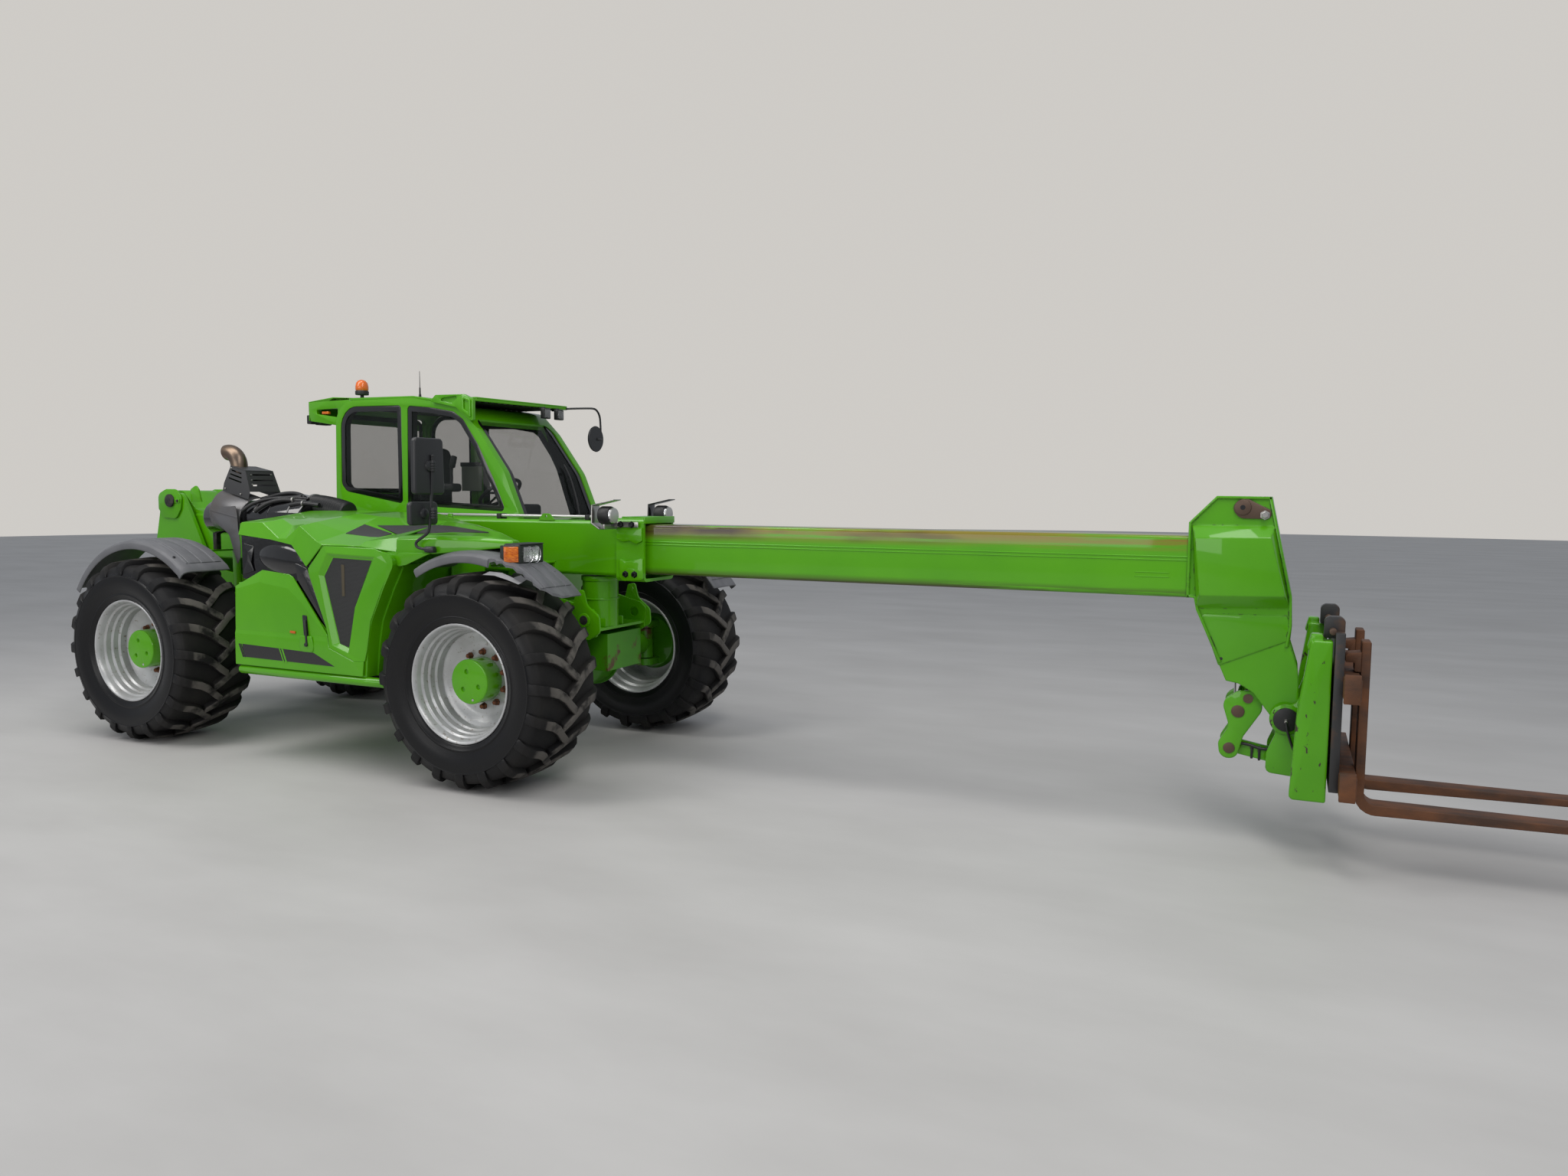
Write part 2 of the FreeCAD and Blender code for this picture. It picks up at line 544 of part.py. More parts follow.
# Inner boom with the head that carries the fork linkage
inner_boom = carved(block(3000, 6960, boom_side - 125, boom_side + 125, 1268, 1590),
                    block(2990, 6970, boom_side - 113, boom_side + 113, 1280, 1578))
node("inner_boom", inner_boom)
head_rows = [
    (6960, 1270), (6960, 1660), (7090, 1797, 10), (7347, 1795, 10), (7378, 1653), (7458, 1293), (7464, 1150),
    (7458, 1060), (7500, 930, 20), (7520, 680, 40), (7457, 620, 60), (7364, 711, 20), (7215, 700, 40), (7170, 830),
    (7010, 1210), (6998, 1270),
]
cheeks = [slab(head_rows, "side", boom_side + low, boom_side + high) for low, high in ((-130, -110), (110, 130))]
head_back = slab(band([(6960, 1270), (6960, 1655), (7080, 1775)], 14), "side",
                 boom_side - 112, boom_side + 112)
head_front = slab(band([(7340, 1790), (7372, 1653), (7452, 1293), (7458, 1150), (7440, 1000)], 14), "side",
                  boom_side - 112, boom_side + 112)
head_foot = slab(band([(7130, 940), (7012, 1212), (6990, 1270)], 14), "side", boom_side - 112, boom_side + 112)
bulges = []
for low, high in ((-200, -128), (128, 200)):
    outer_y = low if low < 0 else high
    inner_y = high if low < 0 else low
    bulges.append(lofted([
        (boom_side + inner_y, [(6965, 1640), (7372, 1650), (7455, 1240), (7005, 1215)]),
        (boom_side + outer_y, [(6995, 1582), (7362, 1591), (7436, 1300), (7025, 1288)]),
    ], "side"))
head = joined(head_back, head_front, head_foot, *(cheeks + bulges))
node("boom_head", head)

# Lift cylinder: barrel on the frame's pin, rod below the boom
foot = Vector(LIFT_FOOT[0], boom_side, LIFT_FOOT[1])
eye = Vector(LIFT_EYE[0], boom_side, LIFT_EYE[1])
way = (eye - foot).normalize()
mouth = foot + way * 1500
barrel_start = foot + way * 60
barrel = joined(
    rod(tuple(barrel_start), tuple(mouth), 75, Radius="Sizes.lift_barrel_radius"),
    rod((foot.x, boom_side - 60, foot.z), (foot.x, boom_side + 60, foot.z), 70),
)
bore_start = foot + way * 110
barrel = carved(barrel, rod(tuple(bore_start), tuple(foot + way * 1600), 45.2),
                rod((foot.x, boom_side - 80, foot.z), (foot.x, boom_side + 80, foot.z), 35.1))
node("lift_barrel", barrel)
lift_rod = joined(
    rod(tuple(foot + way * 115), tuple(eye - way * 30), 45, Radius="Sizes.lift_rod_radius"),
    rod((eye.x, boom_side - 60, eye.z), (eye.x, boom_side + 60, eye.z), 60),
)
lift_rod = carved(lift_rod, rod((eye.x, boom_side - 80, eye.z), (eye.x, boom_side + 80, eye.z), 36))
node("lift_rod", lift_rod)

# Tilt cylinder inside the head
top = Vector(HEAD_PIN[0], boom_side, HEAD_PIN[1])
low_pin = Vector(ROD_PIN[0], boom_side, ROD_PIN[1])
drop = (low_pin - top).normalize()
tilt_barrel = carved(
    joined(rod(tuple(top + drop * 40), tuple(top + drop * 700), 48),
           rod((top.x, boom_side - 28, top.z), (top.x, boom_side + 28, top.z), 50)),
    rod(tuple(top + drop * 150), tuple(top + drop * 800), 25.2),
    rod((top.x, boom_side - 60, top.z), (top.x, boom_side + 60, top.z), 30.1),
)
node("tilt_barrel", tilt_barrel)
node("tilt_rod", carved(
    joined(rod(tuple(top + drop * 420), tuple(low_pin - drop * 20), 25),
           rod((low_pin.x, boom_side - 28, low_pin.z), (low_pin.x, boom_side + 28, low_pin.z), 48)),
    rod((low_pin.x, boom_side - 60, low_pin.z), (low_pin.x, boom_side + 60, low_pin.z), 32),
))
head_pins = [rod((top.x, boom_side - 109.9, top.z), (top.x, boom_side + 109.9, top.z), 30)]
for side in (1, -1):
    head_pins.append(rod((ROCKER_PIVOT[0], boom_side + side * 80, ROCKER_PIVOT[1]),
                         (ROCKER_PIVOT[0], boom_side + side * 109.9, ROCKER_PIVOT[1]), 24))
    head_pins.append(rod((CARRIAGE_PIVOT[0], boom_side + side * 130.1, CARRIAGE_PIVOT[1]),
                         (CARRIAGE_PIVOT[0], boom_side + side * 162, CARRIAGE_PIVOT[1]), 28))
node("head_pins", joined(*head_pins))

# Rocker: two plates on the head's stubs, with the rod's pin and the link's pin
rocker_rows = [
    (7340, 800, 60), (7230, 800, 70), (7150, 740, 60), (7190, 610, 60), (7140, 520, 45), (7150, 440, 45),
    (7230, 440, 45), (7260, 560, 60), (7345, 700, 60),
]
rocker = []
for low, high in ((-105, -83), (83, 105)):
    plate = slab(rocker_rows, "side", boom_side + low, boom_side + high)
    hole = rod((ROCKER_PIVOT[0], boom_side + low - 5, ROCKER_PIVOT[1]),
               (ROCKER_PIVOT[0], boom_side + high + 5, ROCKER_PIVOT[1]), 24.1)
    rocker.append(carved(plate, hole))
rocker.append(rod((ROD_PIN[0], boom_side - 84, ROD_PIN[1]), (ROD_PIN[0], boom_side + 84, ROD_PIN[1]), 18))
rocker.append(rod((LINK_BACK[0], boom_side - 84, LINK_BACK[1]), (LINK_BACK[0], boom_side + 84, LINK_BACK[1]), 22))
node("rocker", joined(*rocker))

# Link: two bars between the rocker and the carriage
link = []
for low, high in ((-55, -33), (33, 55)):
    link.append(rod((LINK_BACK[0], boom_side + low, LINK_BACK[1]), (LINK_BACK[0], boom_side + high, LINK_BACK[1]), 40))
    link.append(rod((LINK_FRONT[0], boom_side + low, LINK_FRONT[1]), (LINK_FRONT[0], boom_side + high, LINK_FRONT[1]), 42))
    link.append(slab([(LINK_BACK[0], LINK_BACK[1] - 30), (LINK_FRONT[0], LINK_FRONT[1] - 30),
                      (LINK_FRONT[0], LINK_FRONT[1] + 30), (LINK_BACK[0], LINK_BACK[1] + 30)],
                     "side", boom_side + low, boom_side + high))
link.append(block(7290, 7330, boom_side - 34, boom_side + 34, 455, 495))
link_holes = [
    rod((LINK_BACK[0], boom_side - 90, LINK_BACK[1]), (LINK_BACK[0], boom_side + 90, LINK_BACK[1]), 22.1),
    rod((LINK_FRONT[0], boom_side - 90, LINK_FRONT[1]), (LINK_FRONT[0], boom_side + 90, LINK_FRONT[1]), 32),
]
node("link", carved(joined(*link), *link_holes))

# Carriage: ears on the head's stubs, green columns and a dark back plate
ear_rows = [(7371, 400, 20), (7371, 500, 60), (7410, 600, 60), (7400, 740, 50), (7500, 760, 60), (7610, 1000),
            (7650, 1000), (7650, 380)]
ears = []
for low, high in ((-165, -140), (140, 165)):
    plate = slab(ear_rows, "side", boom_side + low, boom_side + high)
    hole = rod((CARRIAGE_PIVOT[0], boom_side + low - 5, CARRIAGE_PIVOT[1]),
               (CARRIAGE_PIVOT[0], boom_side + high + 5, CARRIAGE_PIVOT[1]), 28.1)
    ears.append(carved(plate, hole))
lower_ear = [(7386, 400, 20), (7386, 480, 40), (7470, 520, 40), (7650, 560), (7650, 380)]
for low, high in ((-78, -60), (60, 78)):
    ears.append(slab(lower_ear, "side", boom_side + low, boom_side + high))
ears.append(rod((LINK_FRONT[0], boom_side - 61, LINK_FRONT[1]), (LINK_FRONT[0], boom_side + 61, LINK_FRONT[1]), 20))
column_rows = [(7548, 1120, 10), (7650, 1120, 10), (7650, 345), (7480, 345, 10)]
for low, high in ((-450, -350), (350, 450)):
    ears.append(slab(column_rows, "side", boom_side + low, boom_side + high))
ears.append(block(7630, 7650, boom_side - 350, boom_side + 350, 380, 1000))
node("carriage_coupler", joined(*ears))
back_plate = block(7650, 7695, boom_side - 450, boom_side + 450, 400, 1160)
rails = [block(7695, 7766, boom_side - 560, boom_side + 560, low, high) for low, high in ((860, 960), (400, 500))]
lugs = [block(7600, 7695, boom_side + side * 330 - 30, boom_side + side * 330 + 30, 1125, 1230) for side in (1, -1)]
carrier = joined(back_plate, *(rails + lugs))
node("fork_carrier", carrier)
fork_rows = [
    (7766, 1118), (7810, 1118), (7810, 330, 60), (9000, 330), (9030, 310), (9030, 300), (7766, 275, 70),
]
for name, side in (("fork_left", 1), ("fork_right", -1)):
    y = boom_side + side * size("fork_spacing") / 2
    node(name, slab(fork_rows, "side", y - 65, y + 65, LengthFwd="Sizes.fork_width"))

# Mirrors, lamps, air duct, exhaust
mirror_rows = [(2480, 1765, 20), (2710, 1765, 20), (2710, 2130, 30), (2480, 2130, 30)]
right_mirror = [
    slab([(-1040, 1765, 20), (-820, 1765, 20), (-820, 2130, 30), (-1040, 2130, 30)], "front", 2560, 2600),
    slab([(-1030, 1560, 20), (-830, 1560, 20), (-830, 1720, 30), (-1030, 1720, 30)], "front", 2560, 2600),
    carved(rod((2585, -930, 1430), (2585, -930, 1800), 12), lofted(cowl_outer, "front")),
]
left_mirror = [
    slab([(1120, 2120, 20), (1240, 2120, 20), (1240, 2330, 20), (1120, 2330, 20)], "front", 2290, 2320),
    bent_tube([(2100, 1160, 2500), (2100, 1195, 2500), (2305, 1195, 2500), (2305, 1195, 2250)], 10, 15, "arm"),
]
node("mirrors", joined(*(right_mirror + left_mirror)))
lamp_rows = [(3290, 1390), (3540, 1330), (3556, 1480, 10), (3300, 1500, 10)]
below = front_arc + [(3860, 1000), (2690, 1000)]
lamps = []
for side in (1, -1):
    low, high = side * 1100 - 80, side * 1100 + 80
    lamps.append(carved(slab(lamp_rows, "side", low, high), slab(below, "side", low - 10, high + 10)))
beacon = joined(rod((600, 400, 2560), (600, 400, 2610), 12), rod((600, 400, 2610), (600, 400, 2700), 45))
node("lamps", joined(beacon, *lamps))
node("air_duct", joined(rod((-150, -480, 1500), (900, -480, 1500), 130), block(-20, 20, -500, -460, 1342, 1390),
                        block(850, 1040, -520, -440, 1280, 1390)))
shroud = slab(band([(-560, 1620), (-420, 1560, 200), (-325, 1350)], 12), "side", -600, -frame_half)
shroud_leg = block(-410, -370, -frame_half - 12, -frame_half, 1000, 1470)
node("grey_shroud", joined(shroud, shroud_leg))
node("exhaust_guard", slab([(-380, 1630), (60, 1630), (20, 1750, 20), (-330, 1750, 20)], "side", -560, -330))
node("tailpipe", bent_tube([(-180, -450, 1750), (-180, -450, 1870), (-340, -450, 1960)], 50, 90, "tailpipe"))

# Front drum, gearbox and left-hand tanks and steps
node("transfer_box", carved(block(3150, 3330, -140, 270, 600, 850),
                             turned(AXLE_PROFILE, (wheel_base, 0, axle_height))))
tank = slab([(800, 560, 40), (2140, 560, 40), (2200, 760), (770, 760)], "side", 300, 1120)
steps = joined(block(1300, 1900, 1120, 1240, 560, 580), block(1300, 1340, 1120, 1240, 580, 700),
               block(1860, 1900, 1120, 1240, 580, 700))
node("left_tank", joined(tank, steps))

# Check every object, then write every sub-part
doc.recompute()
troubled = [thing.Name for thing in doc.Objects if "Invalid" in thing.State or "Error" in thing.State]
if troubled:
    raise RuntimeError("objects with errors: " + ", ".join(troubled))
os.makedirs("parts", exist_ok=True)
for label, piece in nodes.items():
    shape = piece.Shape
    if shape.isNull() or not shape.isValid():
        raise RuntimeError("bad shape: " + label)
    shape.exportStep("parts/%s.step" % label)
    print("%-26s %d solids %10.1f litres" % (label, len(shape.Solids), shape.Volume / 1e6))
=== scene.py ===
import bpy
import bmesh
import math
from contextlib import contextmanager
from mathutils import Matrix, Vector


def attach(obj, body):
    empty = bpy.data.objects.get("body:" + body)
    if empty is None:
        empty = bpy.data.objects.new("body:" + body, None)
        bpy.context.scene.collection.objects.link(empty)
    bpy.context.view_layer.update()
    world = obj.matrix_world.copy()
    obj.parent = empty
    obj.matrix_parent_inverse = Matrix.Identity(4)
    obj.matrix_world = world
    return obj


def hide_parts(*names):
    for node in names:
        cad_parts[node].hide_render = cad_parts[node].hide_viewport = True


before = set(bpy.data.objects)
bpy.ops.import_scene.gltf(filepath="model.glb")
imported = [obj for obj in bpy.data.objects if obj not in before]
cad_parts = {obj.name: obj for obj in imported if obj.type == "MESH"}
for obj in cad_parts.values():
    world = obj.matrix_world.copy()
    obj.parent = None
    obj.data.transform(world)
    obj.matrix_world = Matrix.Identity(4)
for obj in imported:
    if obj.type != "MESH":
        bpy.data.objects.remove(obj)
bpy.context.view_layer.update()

# ---------------------------------------------------------------- Hall floor and light
# The photograph's hall is a pale, power-floated concrete floor under long skylights. Here it is one
# plain pale floor and a plain pale backdrop, lit by broad soft panels overhead and a soft sky.


def only(piece):
    """Select one piece alone and make it the active one."""
    bpy.ops.object.select_all(action="DESELECT")
    piece.select_set(True)
    bpy.context.view_layer.objects.active = piece


@contextmanager
def editing(piece):
    """Edit mode on one piece, with its whole mesh selected."""
    only(piece)
    bpy.ops.object.mode_set(mode="EDIT")
    bpy.ops.mesh.select_all(action="SELECT")
    yield
    bpy.ops.object.mode_set(mode="OBJECT")


def new_piece(name, **turns):
    """Name the piece just made, set its place, turn or scale, and put that into its mesh."""
    piece = bpy.context.object
    piece.name = name
    for setting, amount in turns.items():
        setattr(piece, setting, amount)
    bpy.ops.object.transform_apply(location=True, rotation=True, scale=True)
    return piece


def smooth(piece, angle):
    """Shade a piece smooth where its faces meet at less than an angle in degrees."""
    only(piece)
    bpy.ops.object.shade_smooth_by_angle(angle=math.radians(angle))


def finish(name, colour, rough, metal=0.0, coat=0.0, coat_rough=0.05, tone=None, grain=None, **sockets):
    """A new node material.

    tone: a cloud's scale, detail, low and high share, its two colours, and how it is stretched.
    grain: a cloud's scale, detail, depth in metres, strength, and how it is stretched.
    """
    made = bpy.data.materials.new(name)
    made.use_nodes = True
    shader = made.node_tree.nodes["Principled BSDF"]
    shader.inputs["Base Color"].default_value = (*colour, 1)
    shader.inputs["Roughness"].default_value = rough
    shader.inputs["Metallic"].default_value = metal
    shader.inputs["Coat Weight"].default_value = coat
    shader.inputs["Coat Roughness"].default_value = coat_rough
    for socket, amount in sockets.items():
        shader.inputs[socket.replace("_", " ")].default_value = amount
    made.diffuse_color = (*colour, 1)
    if tone:
        scale, detail, low, high, dark, light, *stretch = tone
        shade(made, ramp(made, noise(made, scale, detail, *stretch), "Fac", low, high, dark, light))
    if grain:
        scale, detail, depth, strength, *stretch = grain
        relief(made, noise(made, scale, detail, *stretch), "Fac", depth, strength)
    return made


def node_in(made, kind, **values):
    """A node of that kind in a material; values go to its inputs, or to its settings when named with set_."""
    fresh = made.node_tree.nodes.new(kind)
    for name, amount in values.items():
        if name.startswith("set_"):
            setattr(fresh, name[4:], amount)
        else:
            fresh.inputs[name.replace("_", " ")].default_value = amount
    return fresh


def wire(made, start, out, end, into):
    """Join one node's output to another node's input."""
    made.node_tree.links.new(start.outputs[out], end.inputs[into])


def object_place(made, stretch=(1, 1, 1)):
    """The surface's place in the row's frame, stretched along the axes."""
    place = node_in(made, "ShaderNodeTexCoord")
    mapped = node_in(made, "ShaderNodeMapping", Scale=stretch)
    wire(made, place, "Object", mapped, "Vector")
    return mapped


def noise(made, scale, detail=4.0, stretch=(1, 1, 1), rough=0.55):
    """Clouds at that scale over the piece."""
    clouds = node_in(made, "ShaderNodeTexNoise", Scale=scale, Detail=detail, Roughness=rough)
    wire(made, object_place(made, stretch), "Vector", clouds, "Vector")
    return clouds


def ramp(made, start, out, low, high, first=(0, 0, 0), last=(1, 1, 1)):
    """Spread a value between two limits over two colours."""
    spread = node_in(made, "ShaderNodeValToRGB")
    for element, position, colour in zip(spread.color_ramp.elements, (low, high), (first, last)):
        element.position = position
        element.color = (*colour, 1)
    wire(made, start, out, spread, "Fac")
    return spread


def blend_colour(made, share, share_out, first, first_out, last, last_out="Color"):
    """Mix two colours by a share; a colour may be a node or a plain value."""
    mixed = node_in(made, "ShaderNodeMix", set_data_type="RGBA")
    wire(made, share, share_out, mixed, 0)
    for spot, (colour, out) in ((6, (first, first_out)), (7, (last, last_out))):
        if isinstance(colour, tuple):
            mixed.inputs[spot].default_value = (*colour, 1)
        else:
            made.node_tree.links.new(colour.outputs[out], mixed.inputs[spot])
    return mixed


def shader_input(made, name="Base Color"):
    """A socket of the material's shader."""
    return made.node_tree.nodes["Principled BSDF"].inputs[name]


def shade(made, mixed):
    """Send a pattern to the shader's colour."""
    out = 2 if mixed.bl_idname == "ShaderNodeMix" else 0
    made.node_tree.links.new(mixed.outputs[out], shader_input(made))


def colour_source(made):
    """The socket that feeds the shader's colour now."""
    return shader_input(made).links[0].from_socket


def lay_over(made, share, colour):
    """Lay a plain colour over what the shader shows now, by a pattern's share."""
    mixer = node_in(made, "ShaderNodeMix", set_data_type="RGBA")
    wire(made, share, 0, mixer, 0)
    made.node_tree.links.new(colour_source(made), mixer.inputs[6])
    mixer.inputs[7].default_value = (*colour, 1)
    shade(made, mixer)


def relief(made, height, out, distance, strength=1.0):
    """Raise the surface by a pattern: distance is in metres."""
    bump = node_in(made, "ShaderNodeBump", Strength=strength, Distance=distance)
    wire(made, height, out, bump, "Height")
    made.node_tree.links.new(bump.outputs["Normal"], shader_input(made, "Normal"))
    return bump


def set_finish(piece, made):
    """Give a piece one material all over."""
    piece.data.materials.clear()
    piece.data.materials.append(made)


floor_paint = finish("pale_concrete", (0.52, 0.51, 0.50), 0.55, tone=(0.55, 6, 0.3, 0.75, (0.47, 0.46, 0.45),
    (0.56, 0.55, 0.54), (1.0, 2.2, 1.0)))
bpy.ops.mesh.primitive_circle_add(vertices=96, radius=45, fill_type="NGON", location=(3.0, 6.0, 0))
floor = new_piece("floor")
set_finish(floor, floor_paint)

world = bpy.data.worlds.new("hall_sky")
world.use_nodes = True
bpy.context.scene.world = world
wires, fresh = world.node_tree.links.new, world.node_tree.nodes.new
sky, backdrop = world.node_tree.nodes["Background"], fresh("ShaderNodeBackground")
for light, colour, strength in ((sky, (0.80, 0.84, 0.90, 1), 0.46), (backdrop, (0.62, 0.60, 0.57, 1), 1.0)):
    light.inputs["Color"].default_value = colour
    light.inputs["Strength"].default_value = strength
# The backdrop's colour shows to the eye and through the panes; the sky's lights the machine.
rays, either, choose = fresh("ShaderNodeLightPath"), fresh("ShaderNodeMath"), fresh("ShaderNodeMixShader")
either.operation = "MAXIMUM"
wires(rays.outputs["Is Camera Ray"], either.inputs[0])
wires(rays.outputs["Is Transmission Ray"], either.inputs[1])
for socket, source in enumerate((either, sky, backdrop)):
    wires(source.outputs[0], choose.inputs[socket])
wires(choose.outputs[0], world.node_tree.nodes["World Output"].inputs["Surface"])

# name, place, aim, size across and along, power
for name, place, aim, across, along, power in (
    ("roof_light_left", (-4.5, -3.0, 7.5), (-2.0, 0.0, 0.5), 2.2, 9.0, 330),
    ("roof_light_right", (4.0, -4.0, 7.5), (2.0, 0.0, 0.5), 2.2, 9.0, 330),
    ("door_light", (-3.0, -12.0, 3.5), (-1.0, 0.0, 0.8), 9.0, 3.5, 230),
):
    lamp_data = bpy.data.lights.new(name, "AREA")
    lamp_data.shape = "RECTANGLE"
    lamp_data.size = across
    lamp_data.size_y = along
    lamp_data.energy = power
    lamp_data.color = (1.0, 0.98, 0.95)
    lamp = bpy.data.objects.new(name, lamp_data)
    lamp.location = place
    lamp.rotation_euler = (Vector(place) - Vector(aim)).to_track_quat("Z", "Y").to_euler()
    bpy.context.scene.collection.objects.link(lamp)

bpy.context.scene.view_settings.view_transform = "Standard"

# ---------------------------------------------------------------- Viewpoint
# The photograph is taken from the right front, at about the height of a tall person's eyes.
eye_place = Vector((3.40722, -6.17419, 1.79589))
turn, tip, lean = -0.433672, -0.0870151, 0.00626441
ahead = Vector((math.cos(tip) * math.sin(turn), math.cos(tip) * math.cos(turn), math.sin(tip)))
level = ahead.cross(Vector((0, 0, 1))).normalized()
above = level.cross(ahead)
camera_data = bpy.data.cameras.new("photo_view")
SENSOR_WIDTH, FOCAL_PIXELS, PHOTO_PIXELS = 36.0, 1416.8866, 2048
camera_data.sensor_width = SENSOR_WIDTH
camera_data.lens = FOCAL_PIXELS / PHOTO_PIXELS * SENSOR_WIDTH
camera = bpy.data.objects.new("photo_view", camera_data)
side_axis = level * math.cos(lean) + above * math.sin(lean)
top_axis = above * math.cos(lean) - level * math.sin(lean)
rows = zip(side_axis, top_axis, -ahead, eye_place)
camera.matrix_world = Matrix((*rows, (0, 0, 0, 1)))
bpy.context.scene.collection.objects.link(camera)
bpy.context.scene.camera = camera

# ---------------------------------------------------------------- Tyres
# Wide low-pressure tyres of black rubber: a smooth sidewall up to a sharp ring, and long curved lugs
# that meet in a broad V. The carcass is built up on a drum and the lugs are moulded when it is cured.


REAR_AXLE_X = -4.015  # in the frame, in metres
WHEEL_BASE, AXLE_HEIGHT, WHEEL_MIDDLE = 3000, 655, 950
LEFT, RIGHT = 1, -1


def at(x, y, z):
    """A place given in millimetres from the rear axle, as the drawing gives it."""
    return Vector((x / 1000 + REAR_AXLE_X, y / 1000, z / 1000))


def pull(way):
    """Extrude what is selected by a way."""
    bpy.ops.mesh.extrude_region_move(TRANSFORM_OT_translate={"value": way})


def trace(name, points, fill=False):
    """A chain of edges drawn point after point, closed into a face if asked."""
    bpy.ops.mesh.primitive_plane_add(size=0.01, location=points[0])
    piece = new_piece(name)
    with editing(piece):
        bpy.ops.mesh.merge(type="CENTER")
        for here, there in zip(points, points[1:]):
            pull(Vector(there) - Vector(here))
        if fill:
            bpy.ops.mesh.select_all(action="SELECT")
            bpy.ops.mesh.edge_face_add()
    return piece


def turn_out(piece):
    """Merge doubles and turn every face outwards."""
    with editing(piece):
        bpy.ops.mesh.remove_doubles(threshold=0.00002)
        bpy.ops.mesh.normals_make_consistent(inside=False)


def spun(name, rows, centre=(0, 0, 0), axis=(0, 1, 0), steps=96, closed=True):
    """A turned piece: each row is radius and place along the axis, in millimetres."""
    if axis[1]:
        points = [Vector(centre) + Vector((0, row[1] / 1000 * axis[1], row[0] / 1000)) for row in rows]
    elif axis[0]:
        points = [Vector(centre) + Vector((row[1] / 1000 * axis[0], 0, row[0] / 1000)) for row in rows]
    else:
        points = [Vector(centre) + Vector((row[0] / 1000, 0, row[1] / 1000 * axis[2])) for row in rows]
    if closed:
        points.append(points[0])
    piece = trace(name, points)
    with editing(piece):
        bpy.ops.mesh.spin(steps=steps, angle=2 * math.pi, center=centre, axis=[abs(part) for part in axis])
    turn_out(piece)
    return piece


def soften(piece, width, segments=2, angle=30):
    """Round a piece's edges and shade it smooth between them."""
    only(piece)
    rounded = piece.modifiers.new("rounded", "BEVEL")
    rounded.width = width
    rounded.segments = segments
    rounded.limit_method = "ANGLE"
    rounded.angle_limit = math.radians(angle)
    bpy.ops.object.modifier_apply(modifier="rounded")
    smooth(piece, angle + 5)
    return piece


def welded(name, *parts):
    """Several parts made into one piece."""
    bpy.ops.object.select_all(action="DESELECT")
    for part in parts:
        part.select_set(True)
    bpy.context.view_layer.objects.active = parts[0]
    if len(parts) > 1:
        bpy.ops.object.join()
    parts[0].name = name
    return parts[0]


def copy_of(piece, name):
    """A copy of a piece with its own mesh."""
    only(piece)
    bpy.ops.object.duplicate()
    made = bpy.context.object
    made.name = name
    return made


CARCASS = [
    # radius, place along the axle
    (345, 236), (357, 250), (368, 262), (378, 268), (392, 274), (398, 279), (404, 279), (409, 276),
    (440, 289), (480, 297), (512, 299), (528, 298), (532, 300), (536, 299), (539, 291), (556, 286),
    (580, 276), (598, 260), (606, 235), (610, 150), (612, 0),
]
carcass_rows = CARCASS + [(radius, -place) for radius, place in CARCASS[-2::-1]]
tyre = spun("tyre_pattern", carcass_rows + [(345, 0)], steps=120)
# place across, turn forwards in degrees, lowest and highest radius, half width along the tread
LUG = [(46, 14.5, 604, 655, 29), (-20, 10.2, 606, 655, 31), (-85, 5.2, 606, 654, 32), (-150, 2.0, 604, 651, 32),
    (-222, 0.0, 596, 645, 32), (-262, -0.9, 580, 628, 33), (-288, -1.5, 555, 598, 36), (-297, -1.8, 533, 560, 38)]


def lug_section(row):
    """Four corners of the lug's cut at one place across the tyre."""
    across, degrees, low, high, half = row
    corners = []
    for radius, spread in ((low, half + 5), (high, half - 3), (high, -half + 3), (low, -half - 5)):
        angle = math.radians(degrees) + spread / AXLE_HEIGHT
        corners.append(Vector((radius / 1000 * math.sin(angle), across / 1000, radius / 1000 * math.cos(angle))))
    return corners


def loft(name, sections, caps=True):
    """A skin pulled from section to section; every section has the same number of points."""
    first = list(sections[0])
    piece = trace(name, first + [first[0]])
    with editing(piece):
        bpy.ops.mesh.remove_doubles(threshold=0.00001)
        if caps:
            bpy.ops.mesh.edge_face_add()
        for before, after in zip(sections, sections[1:]):
            shift = sum((b - a for a, b in zip(before, after)), Vector()) / len(before)
            pull(shift)
            net = bmesh.from_edit_mesh(piece.data)
            moved = [vert for vert in net.verts if vert.select]
            for old, new in zip(before, after):
                nearest = min(moved, key=lambda vert: (vert.co - old - shift).length)
                nearest.co = new
                moved.remove(nearest)
            bmesh.update_edit_mesh(piece.data)
    turn_out(piece)
    return piece


def repeat_round(piece, number):
    """Repeat a piece round the wheel's axle."""
    with editing(piece):
        bpy.ops.mesh.spin(dupli=True, steps=number - 1, angle=2 * math.pi * (number - 1) / number, center=(0, 0, 0),
            axis=(0, 1, 0))


def swap_sides():
    """Mirror the active piece from the right side to the left."""
    bpy.ops.transform.mirror(orient_type="GLOBAL", constraint_axis=(False, True, False))


lug = loft("lug", [lug_section(row) for row in LUG])
soften(lug, 0.005, 2, 25)
LUGS = 20
repeat_round(lug, LUGS)
far_lugs = copy_of(lug, "far_lugs")
swap_sides()
new_piece("far_lugs")
with editing(far_lugs):
    half_step = math.pi / LUGS
    bpy.ops.transform.rotate(value=-half_step, orient_axis="Y", center_override=(0, 0, 0))
soften(tyre, 0.003, 2, 25)
tyre = welded("tyre_pattern", tyre, lug, far_lugs)
turn_out(tyre)

